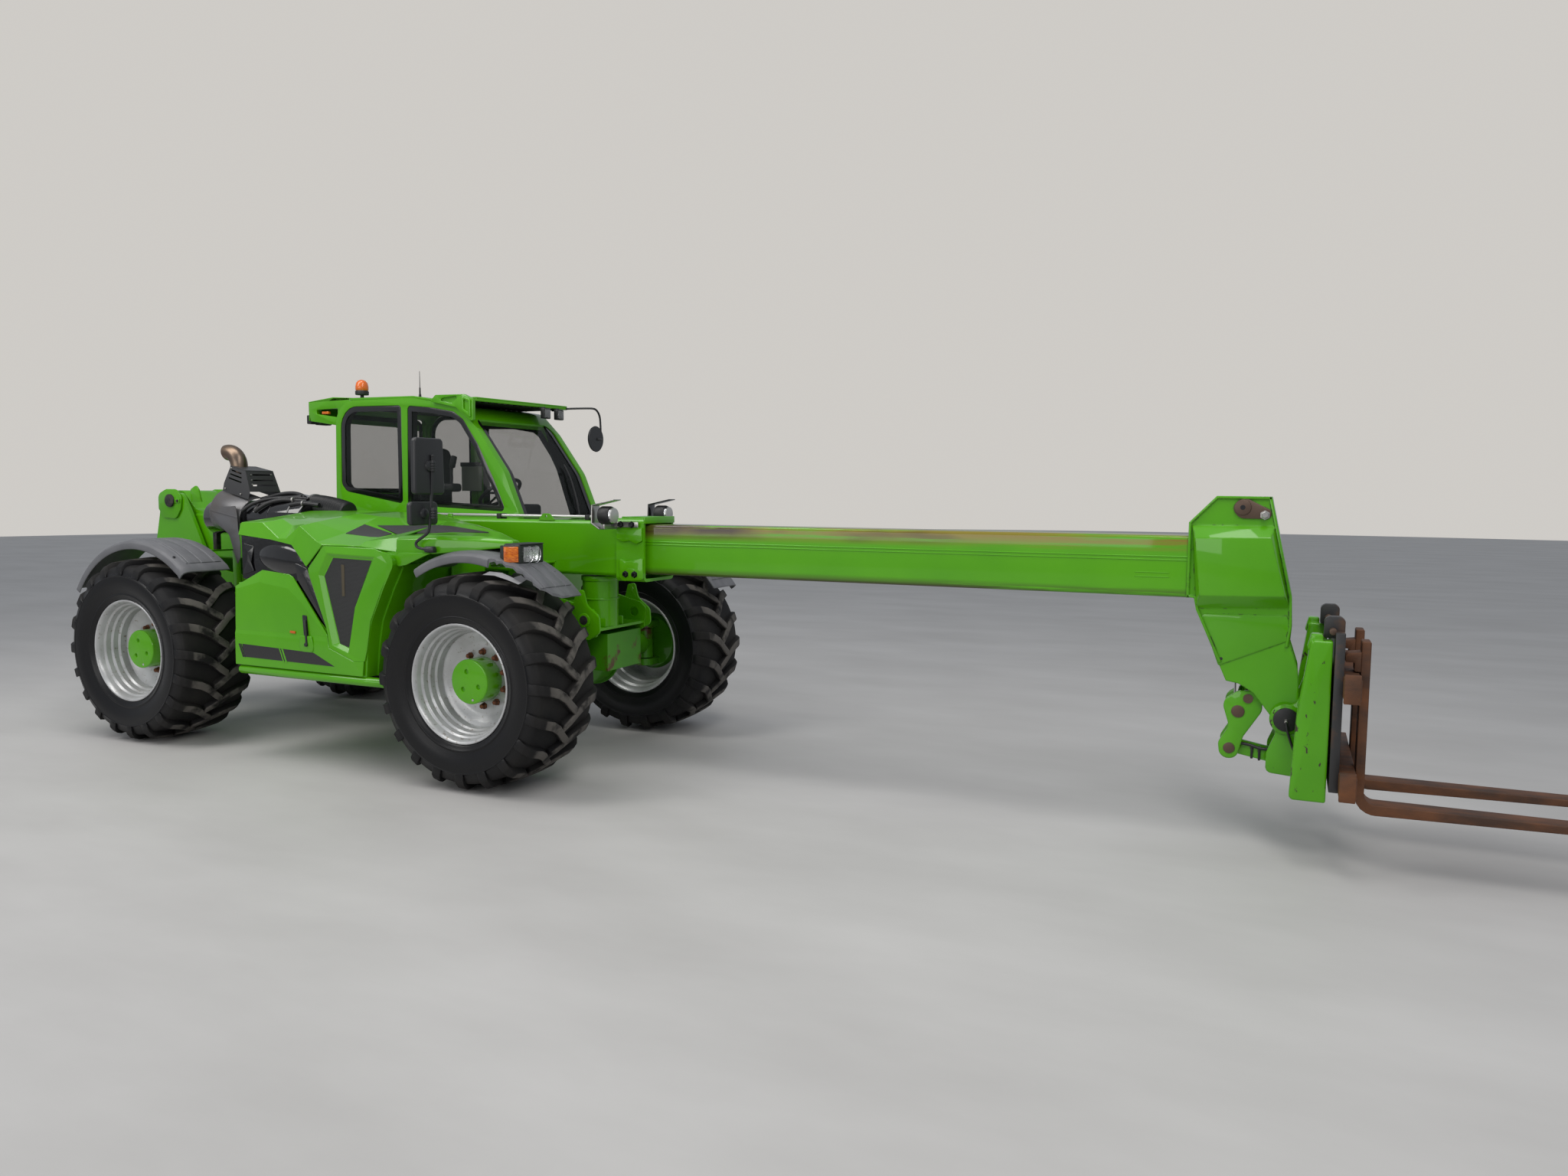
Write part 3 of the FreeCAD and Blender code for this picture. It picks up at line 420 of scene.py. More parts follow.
# The rubber is black in the grooves and on the wall, and worn grey-brown and dusty on the lugs' tops.
def math_node(made, operation, first, second, first_out=0, second_out=0):
    """A sum, product or other two-sided operation on patterns or plain numbers."""
    fresh = node_in(made, "ShaderNodeMath", set_operation=operation)
    for socket, (value, out) in enumerate(((first, first_out), (second, second_out))):
        if isinstance(value, (int, float)):
            fresh.inputs[socket].default_value = value
        else:
            wire(made, value, out, fresh, socket)
    return fresh


def split_place(made):
    """The surface's place in the row's frame as three numbers."""
    parts = node_in(made, "ShaderNodeSeparateXYZ")
    wire(made, node_in(made, "ShaderNodeTexCoord"), "Object", parts, "Vector")
    return parts


def axle_distance(made, axle_x):
    """Distance of the surface from a wheel's axle line, in metres."""
    parts = split_place(made)
    squares = []
    for axis, centre in (("X", axle_x), ("Z", AXLE_HEIGHT / 1000)):
        away = math_node(made, "SUBTRACT", parts, centre, axis)
        squares.append(math_node(made, "POWER", away, 2))
    return math_node(made, "POWER", math_node(made, "ADD", *squares), 0.5)


def times(made, first, second):
    """The product of two patterns."""
    return math_node(made, "MULTIPLY", first, second)


def tyre_rubber(axle_x, name):
    """Rubber for the two tyres of one axle."""
    made = finish(name, (0.010, 0.010, 0.010), 0.55, **{"Specular IOR Level": 0.28})
    reach = axle_distance(made, axle_x)
    top = ramp(made, reach, 0, 0.6405, 0.6465)
    worn = times(made, top, ramp(made, noise(made, 9.0, 8.0), "Fac", 0.36, 0.52))
    groove = ramp(made, reach, 0, 0.545, 0.60)
    dusty = times(made, groove, ramp(made, noise(made, 3.0, 6.0), "Fac", 0.35, 0.75))
    base = blend_colour(made, dusty, 0, (0.006, 0.006, 0.007), None, (0.022, 0.020, 0.018), None)
    shade(made, blend_colour(made, worn, 0, base, 2, (0.115, 0.105, 0.095), None))
    gloss = node_in(made, "ShaderNodeMix", set_data_type="FLOAT")
    wire(made, groove, 0, gloss, 0)
    WALL_GLOSS, TREAD_GLOSS = 0.30, 0.72
    gloss.inputs[2].default_value = WALL_GLOSS
    gloss.inputs[3].default_value = TREAD_GLOSS
    made.node_tree.links.new(gloss.outputs[0], shader_input(made, "Roughness"))
    relief(made, noise(made, 190.0, 3.0), "Fac", 0.0012, 0.5)
    return made


front_rubber = tyre_rubber(REAR_AXLE_X + WHEEL_BASE / 1000, "front_tyre_rubber")
rear_rubber = tyre_rubber(REAR_AXLE_X, "rear_tyre_rubber")
# wheel, axle place, side, rubber
WHEELS = [("front_right", WHEEL_BASE, RIGHT, front_rubber), ("rear_right", 0, RIGHT, rear_rubber),
    ("front_left", WHEEL_BASE, LEFT, front_rubber), ("rear_left", 0, LEFT, rear_rubber)]


def on_wheels(pattern, label, cad, made_of=None):
    """Copies of a wheel piece, drawn for the right side at the origin, set on all four wheels."""
    for corner, axle, side, tyre_finish in WHEELS:
        made = copy_of(pattern, label + "_" + corner)
        if side == LEFT:
            swap_sides()
        new_piece(made.name, location=at(axle, side * WHEEL_MIDDLE, AXLE_HEIGHT))
        if side == LEFT:
            with editing(made):
                bpy.ops.mesh.normals_make_consistent(inside=False)
        smooth(made, 32)
        if made_of is None:
            set_finish(made, tyre_finish)
        if cad:
            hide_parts(cad + "_" + corner)
        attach(made, "wheel_" + corner)
    bpy.data.objects.remove(pattern)


on_wheels(tyre, "tread", "tyre")

# ---------------------------------------------------------------- Rims
# Deep steel rims, rolled in steps down to a welded disc, sprayed silver. The lip is rubbed bright by
# the tyre fitter's irons, and ten rusty nuts hold the disc to the hub.
RIM_WALL = [
    # radius, place outwards
    (340, 240), (352, 250), (361, 255), (364, 261), (361, 266), (353, 266), (346, 258), (339, 240), (335, 216),
    (323, 206), (321, 172), (309, 162), (307, 128), (294, 117), (292, 60), (292, -104), (306, -118), (312, -190),
    (328, -200), (334, -240), (345, -258), (353, -266), (361, -266), (364, -261), (361, -255), (352, -250),
    (340, -240), (338, -206), (321, -196), (314, -124), (299, -110), (299, 112), (314, 122), (316, 158),
    (328, 168), (330, 202), (340, 212),
]
RIM_DISC = [(296, 74), (286, 72), (262, 60), (234, 42), (214, 36), (128, 36), (128, 24), (216, 24), (238, 30),
    (266, 47), (288, 58), (296, 58)]


def outwards(rows):
    """The same outline with its outer face to the right."""
    return [(radius, -place) for radius, place in rows]


silver = finish("rim_silver_paint", (0.25, 0.255, 0.26), 0.34, metal=0.35, coat=0.25, coat_rough=0.2,
    tone=(5, 6, 0.3, 0.72, (0.40, 0.40, 0.40), (0.58, 0.59, 0.60)), grain=(240, 2, 0.0004, 0.4))
lay_over(silver, ramp(silver, noise(silver, 42.0, 5.0), "Fac", 0.60, 0.70), (0.27, 0.24, 0.21))
nut_rust = finish("rusted_nut", (0.16, 0.055, 0.025), 0.85, tone=(60, 6, 0.35, 0.7, (0.07, 0.03, 0.018),
    (0.26, 0.085, 0.03)), grain=(160, 4, 0.0012, 0.8))
wall = soften(spun("rim_wall", outwards(RIM_WALL), steps=96), 0.0025, 2, 20)
disc = soften(spun("rim_disc", outwards(RIM_DISC), steps=96), 0.0025, 2, 20)
set_finish(wall, silver)
set_finish(disc, silver)
nut = spun("nut", [(0, -70), (11, -70), (15, -66), (16, -52), (16, -45), (22, -43), (22, -36), (0, -36)], steps=6)
set_finish(nut, nut_rust)
NUT_CIRCLE, NUTS = 0.168, 10
with editing(nut):
    bpy.ops.transform.translate(value=(0, 0, NUT_CIRCLE))
repeat_round(nut, NUTS)
on_wheels(welded("rim_pattern", wall, disc, nut), "rim_wheel", "rim", silver)

# ---------------------------------------------------------------- Hub caps
# Each hub ends in the planet gears' cast cap, painted green, with three drain dimples round its middle
# and one plug near its rim. It is bolted through the rim's disc.


def cut_out(piece, cutter):
    """Take one piece's room out of another."""
    only(piece)
    cut = piece.modifiers.new("cut", "BOOLEAN")
    cut.object = cutter
    cut.solver = "EXACT"
    bpy.ops.object.modifier_apply(modifier="cut")
    bpy.data.objects.remove(cutter)
    return piece


def gloss_green(name, base=(0.100, 0.400, 0.001), deep=(0.076, 0.335, 0.001), edge=0.0, chips=None):
    """The machine's lime green gloss paint, a little uneven, with fine orange peel."""
    made = finish(name, base, 0.34, coat=0.60, coat_rough=0.04, tone=(1.6, 5, 0.3, 0.75, deep, base),
        **{"Specular IOR Level": 0.2})
    bump = relief(made, noise(made, 320.0, 2.0), "Fac", 0.0002, 0.35)
    if edge:
        soft_edge = node_in(made, "ShaderNodeBevel", Radius=edge, set_samples=4)
        wire(made, soft_edge, "Normal", bump, "Normal")
        if chips:
            flat = node_in(made, "ShaderNodeNewGeometry")
            bend = node_in(made, "ShaderNodeVectorMath", set_operation="DOT_PRODUCT")
            wire(made, soft_edge, "Normal", bend, 0)
            wire(made, flat, "Normal", bend, 1)
            near_edge = ramp(made, bend, "Value", 0.80, 0.985, (1, 1, 1), (0, 0, 0))
            spots = ramp(made, noise(made, 26.0, 6.0), "Fac", 0.56, 0.60)
            lay_over(made, times(made, near_edge, spots), chips)
    return made


green = gloss_green("green_gloss")
hub = spun("hub_pattern", outwards([(0, 26), (137, 26), (137, 163), (134, 168), (128, 170), (0, 170)]), steps=72)
for across, up, radius in ((-20, 60, 20), (-48, -49, 20), (68, -27, 20), (25, -110, 11)):
    bpy.ops.mesh.primitive_cone_add(vertices=32, radius1=radius / 1600, radius2=radius / 1000, depth=0.030,
        location=(across / 1000, -0.171, up / 1000), rotation=(math.pi / 2, 0, 0))
    hub = cut_out(hub, new_piece("dimple"))
soften(hub, 0.0015, 2, 30)
plug = spun("plug", [(0, -171), (8, -171), (9, -168), (9, -150), (0, -150)], (0.025, 0, -0.110), steps=6)
set_finish(hub, green)
set_finish(plug, silver)
on_wheels(welded("hub_pattern", hub, plug), "hub_cap", "hub", green)

# ---------------------------------------------------------------- Knuckles and axles
# Steered drive axles: a cast housing with a round middle, and at each end a knuckle that swings on two
# kingpins. The castings are painted green over a rough skin, with rust where stones have hit them.


def dress(made, *names):
    """Give kept CAD nodes one finish."""
    for name in names:
        set_finish(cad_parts[name], made)


cast_green = gloss_green("cast_green", (0.070, 0.30, 0.006), (0.045, 0.22, 0.004), edge=0.008)
shader_input(cast_green, "Coat Weight").default_value = 0.35
lay_over(cast_green, ramp(cast_green, noise(cast_green, 6.0, 7.0), "Fac", 0.60, 0.66), (0.10, 0.045, 0.02))
CORNERS = ("front_left", "front_right", "rear_left", "rear_right")
dress(cast_green, "front_axle", "rear_axle", "transfer_box", *["knuckle_" + corner for corner in CORNERS])


def rounded(rows, steps=6):
    """An outline with its corners rounded where a row gives a third number, the radius."""
    spots = []
    for spot, row in enumerate(rows):
        here = Vector(row[:2])
        if len(row) < 3:
            spots.append(here)
            continue
        back = (Vector(rows[spot - 1][:2]) - here).normalized()
        fore = (Vector(rows[(spot + 1) % len(rows)][:2]) - here).normalized()
        half = back.angle(fore) / 2
        heart = here + (back + fore).normalized() * (row[2] / math.sin(half))
        start = here + back * (row[2] / math.tan(half)) - heart
        end = here + fore * (row[2] / math.tan(half)) - heart
        for step in range(steps + 1):
            spots.append(heart + start.lerp(end, step / steps).normalized() * row[2])
    return spots


def in_plane(plane, across, up, offset):
    """A place from a drawing in the side, front or top plane, in millimetres from the rear axle."""
    if plane == "side":
        return at(across, offset, up)
    if plane == "front":
        return at(offset, across, up)
    return at(across, up, offset)


def thickened(piece, way, made, edge, segments=2):
    """A flat face pulled into a plate, with rounded edges and a finish."""
    with editing(piece):
        pull(way)
    turn_out(piece)
    if edge:
        soften(piece, edge / 1000, segments)
    set_finish(piece, made)
    return piece


def plate(name, rows, plane, low, high, made, edge=3.0, segments=2):
    """A flat plate: an outline drawn at one offset, filled and extruded to another."""
    outline = [in_plane(plane, spot[0], spot[1], low) for spot in rounded(rows)]
    return thickened(trace(name, outline, fill=True), in_plane(plane, 0, 0, high) - in_plane(plane, 0, 0, low), made,
        edge, segments)


def box(name, x0, x1, y0, y1, z0, z1, made, edge=3.0, segments=2):
    """A block between two corners, with its edges rounded."""
    bpy.ops.mesh.primitive_cube_add(size=1, location=(at(x0, y0, z0) + at(x1, y1, z1)) / 2)
    piece = new_piece(name, scale=at(x1, y1, z1) - at(x0, y0, z0))
    if edge:
        soften(piece, edge / 1000, segments)
    set_finish(piece, made)
    return piece


def bar(name, start, end, radius, made, edge=2.0, vertices=32, tip=None):
    """A round bar between two places; tip is the radius at its end."""
    first, last = at(*start), at(*end)
    end_radius = radius if tip is None else tip
    bpy.ops.mesh.primitive_cone_add(vertices=vertices, radius1=radius / 1000, radius2=end_radius / 1000,
        depth=(last - first).length, location=(first + last) / 2)
    piece = new_piece(name, rotation_euler=(last - first).to_track_quat("Z", "Y").to_euler())
    if edge:
        soften(piece, edge / 1000, 2, 35)
    set_finish(piece, made)
    return piece


def tube(name, places, radius, made, steps=6):
    """A bent tube or hose along a smooth line through control points."""
    bpy.ops.curve.primitive_nurbs_path_add(location=(0, 0, 0))
    line = bpy.context.object
    spline = line.data.splines[0]
    spline.points.add(max(0, len(places) - len(spline.points)))
    while len(spline.points) > len(places):
        line.data.splines.remove(spline)
        spline = line.data.splines.new("NURBS")
        spline.points.add(len(places) - 1)
    for point, place in zip(spline.points, places):
        point.co = (*at(*place), 1)
    spline.order_u = 3
    spline.use_endpoint_u = True
    spline.resolution_u = steps
    line.data.bevel_depth = radius / 1000
    line.data.bevel_resolution = 4
    line.data.use_fill_caps = True
    bpy.ops.object.convert(target="MESH")
    piece = bpy.context.object
    piece.name = name
    turn_out(piece)
    smooth(piece, 40)
    set_finish(piece, made)
    return piece


def bolt(name, place, facing, radius, made):
    """A hexagon screw head with a washer, standing on a surface; facing is along x, y or z."""
    shape = [(0, 0), (1.35, 0), (1.35, 0.18), (1, 0.2), (1, 0.95), (0.82, 1.1), (0, 1.1)]
    rows = [(radius * out, radius * up * sum(facing)) for out, up in shape]
    head = spun(name, rows, at(*place), [abs(part) for part in facing], steps=6)
    set_finish(head, made)
    return head


def carried(body, slot_name, *made):
    """Pieces that ride on one body; the slot name is not used."""
    for piece in made:
        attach(piece, body)


dark_steel = finish("dark_steel", (0.045, 0.045, 0.047), 0.5, metal=0.6, tone=(22, 6, 0.35, 0.75,
    (0.025, 0.025, 0.027), (0.10, 0.09, 0.08)), grain=(150, 3, 0.0006, 0.5))
axle_parts = []
FLANGE_FACE, SCREW_CIRCLE = 186, 200
SIDES = (RIGHT, LEFT)
for axle, nose in ((WHEEL_BASE, 1), (0, -1)):
    for side in SIDES:
        for name, near, far, radius, edge, vertices in (
            ("axle_collar", 400, 425, 128, 6, 32), ("axle_flange", 170, FLANGE_FACE, 214, 4, 48),
        ):
            axle_parts.append(bar(name, (axle, side * near, AXLE_HEIGHT), (axle, side * far, AXLE_HEIGHT), radius,
                cast_green, edge, vertices))
        for step in range(12):
            angle = math.radians(step * 30)
            x, z = axle + SCREW_CIRCLE * math.cos(angle), AXLE_HEIGHT + SCREW_CIRCLE * math.sin(angle)
            axle_parts.append(bolt("flange_screw", (x, side * FLANGE_FACE, z), (0, side, 0), 8, dark_steel))
        axle_parts.append(plate("axle_rib", [(side * 190, 740), (side * 400, 700), (side * 400, 760),
            (side * 200, 815)], "front", axle - 8, axle + 8, cast_green))
    x, z = axle + nose * 175, 640
    axle_parts += [
        bar("steer_cylinder", (x, -330, z), (x, 330, z), 45, cast_green, 4),
        bar("steer_rod", (x, -470, z), (x, 470, z), 20, silver, 1),
    ]
carried("machine", "green_paint", welded("axle_details", *axle_parts))

# ---------------------------------------------------------------- Frame, tower and counterweight
# Two long plates and a belly plate, flame cut and welded, carry everything. The tower at the rear holds
# the boom's pivot pin, and a cast weight closes the frame behind it.
plate_green = gloss_green("plate_green", edge=0.004, chips=(0.05, 0.035, 0.02))
dress(plate_green, "chassis_frame", "boom_tower")
frame_parts = [
    bar("drum_step", (3230, -70, 1080), (3230, -70, 1092), 126, green, 3, 64),
    bar("drum_top", (3230, -70, 1205), (3230, -70, 1240), 128, green, 6, 64),
]
for side in SIDES:
    frame_parts += [
        plate("ear", [(3165, 1000), (3205, 1150, 20), (3262, 1162, 20), (3290, 1060, 60), (3385, 985, 40),
            (3392, 880, 40), (3300, 828, 40), (3165, 850)], "side", side * 300, side * 318, green, 5),
        bar("ear_boss", (3270, side * 296, 960), (3270, side * 326, 960), 46, green, 4),
        # A dark steel disc on the boss stands for its hole: painted shade inside the bore.
        bar("ear_hole_painted_shade", (3270, side * 322, 960), (3270, side * 327.5, 960), 31, dark_steel, 1),
    ]
    for x, z in ((3180, 900), (3180, 1040)):
        frame_parts.append(bolt("ear_screw", (x, side * 318, z), (0, side, 0), 12, dark_steel))
for y in (-170, 30):
    frame_parts.append(box("nose_rib", 3090, 3340, y - 6, y + 6, 902, 960, green))
PIVOT_X, PIVOT_Z = -753, 1707
tower_parts = []
for side, face in ((-1, -280), (1, 140)):
    tower_parts.append(plate("pivot_pad", [(-905, 1640), (-905, 1760, 60), (-810, 1800, 60), (-690, 1800, 60),
        (-625, 1740, 60), (-640, 1640, 80), (-700, 1560, 60), (-850, 1570, 60)], "side", face, face + side * 16,
        green, 6))
    for name, near, far, radius, edge in (("pivot_pin", 10, 34, 52, 4), ("pin_dimple", 33, 35, 12, 0)):
        tower_parts.append(bar(name, (PIVOT_X, face + side * near, PIVOT_Z), (PIVOT_X, face + side * far, PIVOT_Z),
            radius, dark_steel, edge))
    tower_parts += [
        box("keeper", -700, -640, face + side * 16, face + side * 24, 1690, 1722, green, 2),
        bolt("keeper_screw", (-662, face + side * 24, 1706), (0, side, 0), 9, dark_steel),
    ]
tower_parts.append(plate("lift_lug", [(-560, 1700), (-560, 1800, 14), (-500, 1830, 14), (-470, 1800, 14),
    (-440, 1700)], "side", -262, -244, green, 4))
weight = plate("rear_weight", [(-600, 640, 60), (-600, 1110, 70), (600, 1110, 70), (600, 640, 60), (420, 562, 30),
    (-420, 562, 30)], "front", -999, -905, plate_green, 22, 3)
hitch = plate("hitch_jaw", [(-110, 640, 20), (-110, 850, 20), (110, 850, 20), (110, 640, 20)], "front", -1000, -950,
    dark_steel, 6)
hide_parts("counterweight")
for side in SIDES:
    frame_parts.append(box("tail_housing", -999, -987, side * 500 - 70, side * 500 + 70, 930, 1040, dark_steel, 8))
carried("machine", "green_paint", weight)
carried("machine", "dark_casting", hitch)
carried("machine", "green_paint", welded("frame_details", *frame_parts), welded("tower_details", *tower_parts))

black_gloss = finish("black_gloss_plastic", (0.006, 0.006, 0.007), 0.16, coat=0.6, coat_rough=0.04,
    grain=(7, 2, 0.004, 0.25))
black_plastic = finish("black_plastic", (0.016, 0.016, 0.017), 0.5, grain=(420, 2, 0.0004, 0.5))
dress(finish("tank_plastic", (0.02, 0.02, 0.021), 0.6, grain=(300, 2, 0.0005, 0.5)), "left_tank")
dress(finish("engine_castings", (0.10, 0.10, 0.105), 0.6, metal=0.3, tone=(9, 6, 0.35, 0.7, (0.05, 0.05, 0.05),
    (0.16, 0.15, 0.14)), grain=(60, 4, 0.003, 0.6)), "engine_block")

# ---------------------------------------------------------------- Engine side body
# A moulded and pressed enclosure beside the boom: a service door with a raised outline, a V of green
# framing round a tall black mesh vent, and a front wall that curves behind the wheel. Bolted to the frame.


def walled(piece, depth):
    """Give a skin a wall of that depth, inwards."""
    only(piece)
    wall_of = piece.modifiers.new("wall", "SOLIDIFY")
    wall_of.thickness = depth / 1000
    wall_of.offset = -1
    bpy.ops.object.modifier_apply(modifier="wall")


def facets(name, corners, faces, made, depth, edge, angle=4):
    """A pressed skin: flat faces between named corners, given thickness inwards and softened at the folds."""
    piece = welded(name, *[trace("facet", [at(*corners[corner]) for corner in face.split()], fill=True)
        for face in faces])
    turn_out(piece)
    walled(piece, depth)
    soften(piece, edge / 1000, 3, angle)
    set_finish(piece, made)
    return piece


mesh_black = finish("vent_mesh", (0.012, 0.012, 0.013), 0.55)
mesh_cells = node_in(mesh_black, "ShaderNodeTexVoronoi", Scale=150.0, Randomness=0.0)
wire(mesh_black, object_place(mesh_black, (1.0, 1.0, 1.15)), "Vector", mesh_cells, "Vector")
shade(mesh_black, ramp(mesh_black, mesh_cells, "Distance", 0.25, 0.42, (0.001, 0.001, 0.001), (0.028, 0.028, 0.030)))
relief(mesh_black, mesh_cells, "Distance", 0.002, 1.0)
arch = [(2188, 622), (2205, 795), (2241, 978, 300), (2344, 1187, 300), (2427, 1332, 160), (2470, 1392, 60)]
shell_rows = [(1040, 622)] + arch + [(2300, 1424), (1850, 1424), (1716, 1290), (1560, 1180), (1060, 1180)]
body_shell = plate("body_shell", shell_rows, "side", -1132, -318, green, 18, 3)
arch_step = [(x + 14, *rest) for x, *rest in arch]
step_two = plate("arch_step", [(1900, 622)] + arch_step + [(2300, 1400), (1900, 1300)], "side", -1046, -330, green,
    10, 3)
door_corners = {
    # corner, then x, y and z of the door's pressed skin
    "a": (1031, -1140, 1154), "b": (1288, -1136, 1271), "c": (1535, -1136, 1252), "d": (1572, -1138, 1235),
    "e": (1868, -1146, 877), "f": (1893, -1154, 790), "g": (2102, -1154, 718), "h": (2180, -1148, 722),
    "i": (2172, -1152, 626), "j": (1020, -1150, 626), "k": (1026, -1152, 838), "l": (1026, -1146, 862),
    "m": (1054, -1150, 1138), "n": (1275, -1152, 1192), "o": (1539, -1152, 1158), "p": (1651, -1150, 1070),
    "q": (1871, -1148, 834), "r": (1860, -1146, 862),
}
door_skin = facets("door_skin", door_corners, ["a m n b", "b n o c", "c o d", "d o p", "d p r e", "m l r p o n",
    "a l m", "l k q r", "k j i g f q", "g i h", "e r q f"], green, 12, 5)
frame_corners = {
    # corner, then x, y and z of the V frame: outer line, ridge and vent edge
    "a": (1850, -1140, 1447), "b": (1709, -1140, 1295), "c": (1716, -1142, 1259), "d": (1869, -1148, 908),
    "e": (1893, -1154, 790), "f": (2102, -1154, 718), "g": (2186, -1146, 722), "h": (2205, -1142, 795),
    "i": (2238, -1140, 978), "j": (2335, -1136, 1187), "k": (2418, -1128, 1332), "l": (2382, -1124, 1402),
    "m": (2273, -1132, 1440), "n": (1890, -1150, 1399), "o": (1809, -1150, 1262), "p": (1916, -1152, 812),
    "q": (2055, -1152, 766), "r": (2120, -1150, 1060), "s": (2290, -1142, 1385),
    "t": (1935, -1124, 1366), "u": (1857, -1124, 1252), "v": (1975, -1124, 829), "w": (2050, -1124, 806),
    "x": (2104, -1124, 1074), "y": (2247, -1124, 1358),
}
v_frame = facets("v_frame", frame_corners, ["a b o n", "b c o", "c d o", "d p o", "d e p", "e f q p", "f g q",
    "g h q", "h r q", "h i r", "i j r", "j k s r", "k l s", "l m s", "m a n s", "n o u t", "o p v u", "p q w v",
    "q r x w", "r s y x", "s n t y"], green, 12, 5)
vent = plate("vent_mesh", [(1930, 1370), (1850, 1252), (1970, 822), (2056, 800), (2110, 1074), (2256, 1362)], "side",
    -1133.5, -1126, mesh_black, 0)
vent_strip = plate("vent_strip", [(1998, 1330), (2024, 1328), (2022, 1130), (2000, 1128)], "side", -1135.5, -1132,
    finish("faded_print", (0.07, 0.055, 0.03), 0.6), 0)
band_black = finish("black_film", (0.008, 0.008, 0.009), 0.22, coat=0.4)
low_band = plate("low_band", [(1095, 768), (1753, 752), (1935, 674), (1110, 682)], "side", -1153.2, -1151, band_black,
    0)
film_stripes = []
for x, wide, made in ((1060, 12, band_black), (1078, 8, band_black), (1440, 10, green), (1462, 14, green)):
    top = 768 - (x - 1060) * 0.024
    outline = [(x, top), (x + wide, top), (x + wide + 36, top - 88), (x + 36, top - 88)]
    film_stripes.append(plate("film_stripe", outline, "side", -1153.8, -1151, made, 0))
latch_pad = plate("latch_pad", [(1640, 860, 12), (1740, 858, 12), (1760, 790, 20), (1752, 752, 24), (1650, 752, 24),
    (1636, 800, 20)], "side", -1160, -1146, green, 6, 3)
latch_slot = plate("latch_slot", [(1661, 992, 6), (1700, 990, 6), (1712, 790, 6), (1674, 790, 6)], "side", -1152.5,
    -1147, black_gloss, 1)
latch_rod = bar("latch_rod", (1690, -1158, 960), (1704, -1160, 800), 8, black_plastic, 2)
latch_knob = bar("latch_knob", (1700, -1152, 802), (1700, -1170, 802), 13, black_plastic, 3)
marker = plate("marker", [(1545, 884, 4), (1592, 882, 4), (1592, 866, 4), (1545, 868, 4)], "side", -1153, -1147,
    finish("orange_marker", (0.55, 0.12, 0.01), 0.4), 1)
sill = bar("sill_tube", (1040, -1120, 592), (2338, -1120, 592), 30, green, 12, 48)
body_piece = welded("engine_body", body_shell, step_two, door_skin, v_frame, vent, vent_strip, low_band,
    *film_stripes, latch_pad, latch_slot, latch_rod, latch_knob, marker, sill)
bulge_film = finish("glossy_black_cover", (0.006, 0.006, 0.007), 0.12, coat=0.5, coat_rough=0.03,
    grain=(5.5, 3, 0.012, 0.35))
bulge_back = plate("bulge_back", [(1100, 1210), (1100, 1492), (1390, 1484), (1580, 1450), (1700, 1310), (1716, 1259),
    (1872, 890), (1700, 1050), (1300, 1180)], "side", -1132, -1128, bulge_film, 0)
bpy.ops.mesh.primitive_uv_sphere_add(segments=48, ring_count=24, radius=1, location=at(1470, -1104, 1345))
bulge = new_piece("bulge", scale=(0.255, 0.050, 0.112), rotation_euler=(0, math.radians(6), 0))
bpy.ops.object.shade_smooth()
set_finish(bulge, bulge_film)
wedge_corners = {"a": (1598, -1146, 1330), "b": (1706, -1140, 1292), "c": (1716, -1140, 1259),
    "d": (1866, -1138, 908), "e": (1612, -1138, 1216), "f": (1668, -1150, 1268)}
wedge = facets("wedge", wedge_corners, ["a b f", "b c f", "c d f", "d e f", "e a f"], bulge_film, 6, 4)
torn = facets("torn_edge", {"a": (1128, -1140, 1445), "b": (1215, -1134, 1425), "c": (1175, -1150, 1385),
    "d": (1150, -1136, 1330), "e": (1196, -1146, 1318), "f": (1100, -1136, 1232), "g": (1216, -1142, 1262)},
    ["a b c", "c b e", "c e d", "d e g", "d g f"], bulge_film, 4, 2)
black_work = welded("engine_body_black", bulge_back, bulge, wedge, torn)
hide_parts("side_body")
carried("machine", "green_paint", body_piece)
carried("machine", "black_plastic", black_work)

# ---------------------------------------------------------------- Hood
# The engine's lid: one moulded green panel hinged beside the boom, folded in a zig-zag along its side,
# with two black mesh vents let into its top. It lifts on two eyes and a gas strut.
hood_corners = {
    # corner, then x, y and z of the hood's moulded skin
    "r0": (1083, -1146, 1500), "r1": (1102, -1132, 1582), "r2": (1088, -887, 1608), "r3": (1076, -541, 1650),
    "r4": (1064, -352, 1652),
    "z1": (1304, -1132, 1584), "z2": (1458, -1144, 1484), "z3": (1528, -1144, 1484), "z4": (1636, -1130, 1569),
    "z5": (1801, -1140, 1466), "z6": (2150, -1128, 1448), "z7": (2420, -1094, 1418),
    "s1": (1388, -1150, 1474), "s2": (1579, -1150, 1444), "s3": (1700, -1146, 1306), "s4": (1846, -1146, 1448),
    "m1": (1290, -960, 1604), "m2": (1470, -1040, 1566), "m3": (1640, -1000, 1590), "m4": (1830, -935, 1520),
    "m5": (2150, -1070, 1478), "m6": (2420, -1062, 1512),
    "n1": (1300, -541, 1654), "n2": (1640, -620, 1642), "n3": (1830, -640, 1622), "n4": (2420, -640, 1600),
    "n5": (2240, -930, 1516),
    "o1": (1300, -352, 1656), "o2": (2100, -352, 1642), "o3": (2420, -500, 1602),
}
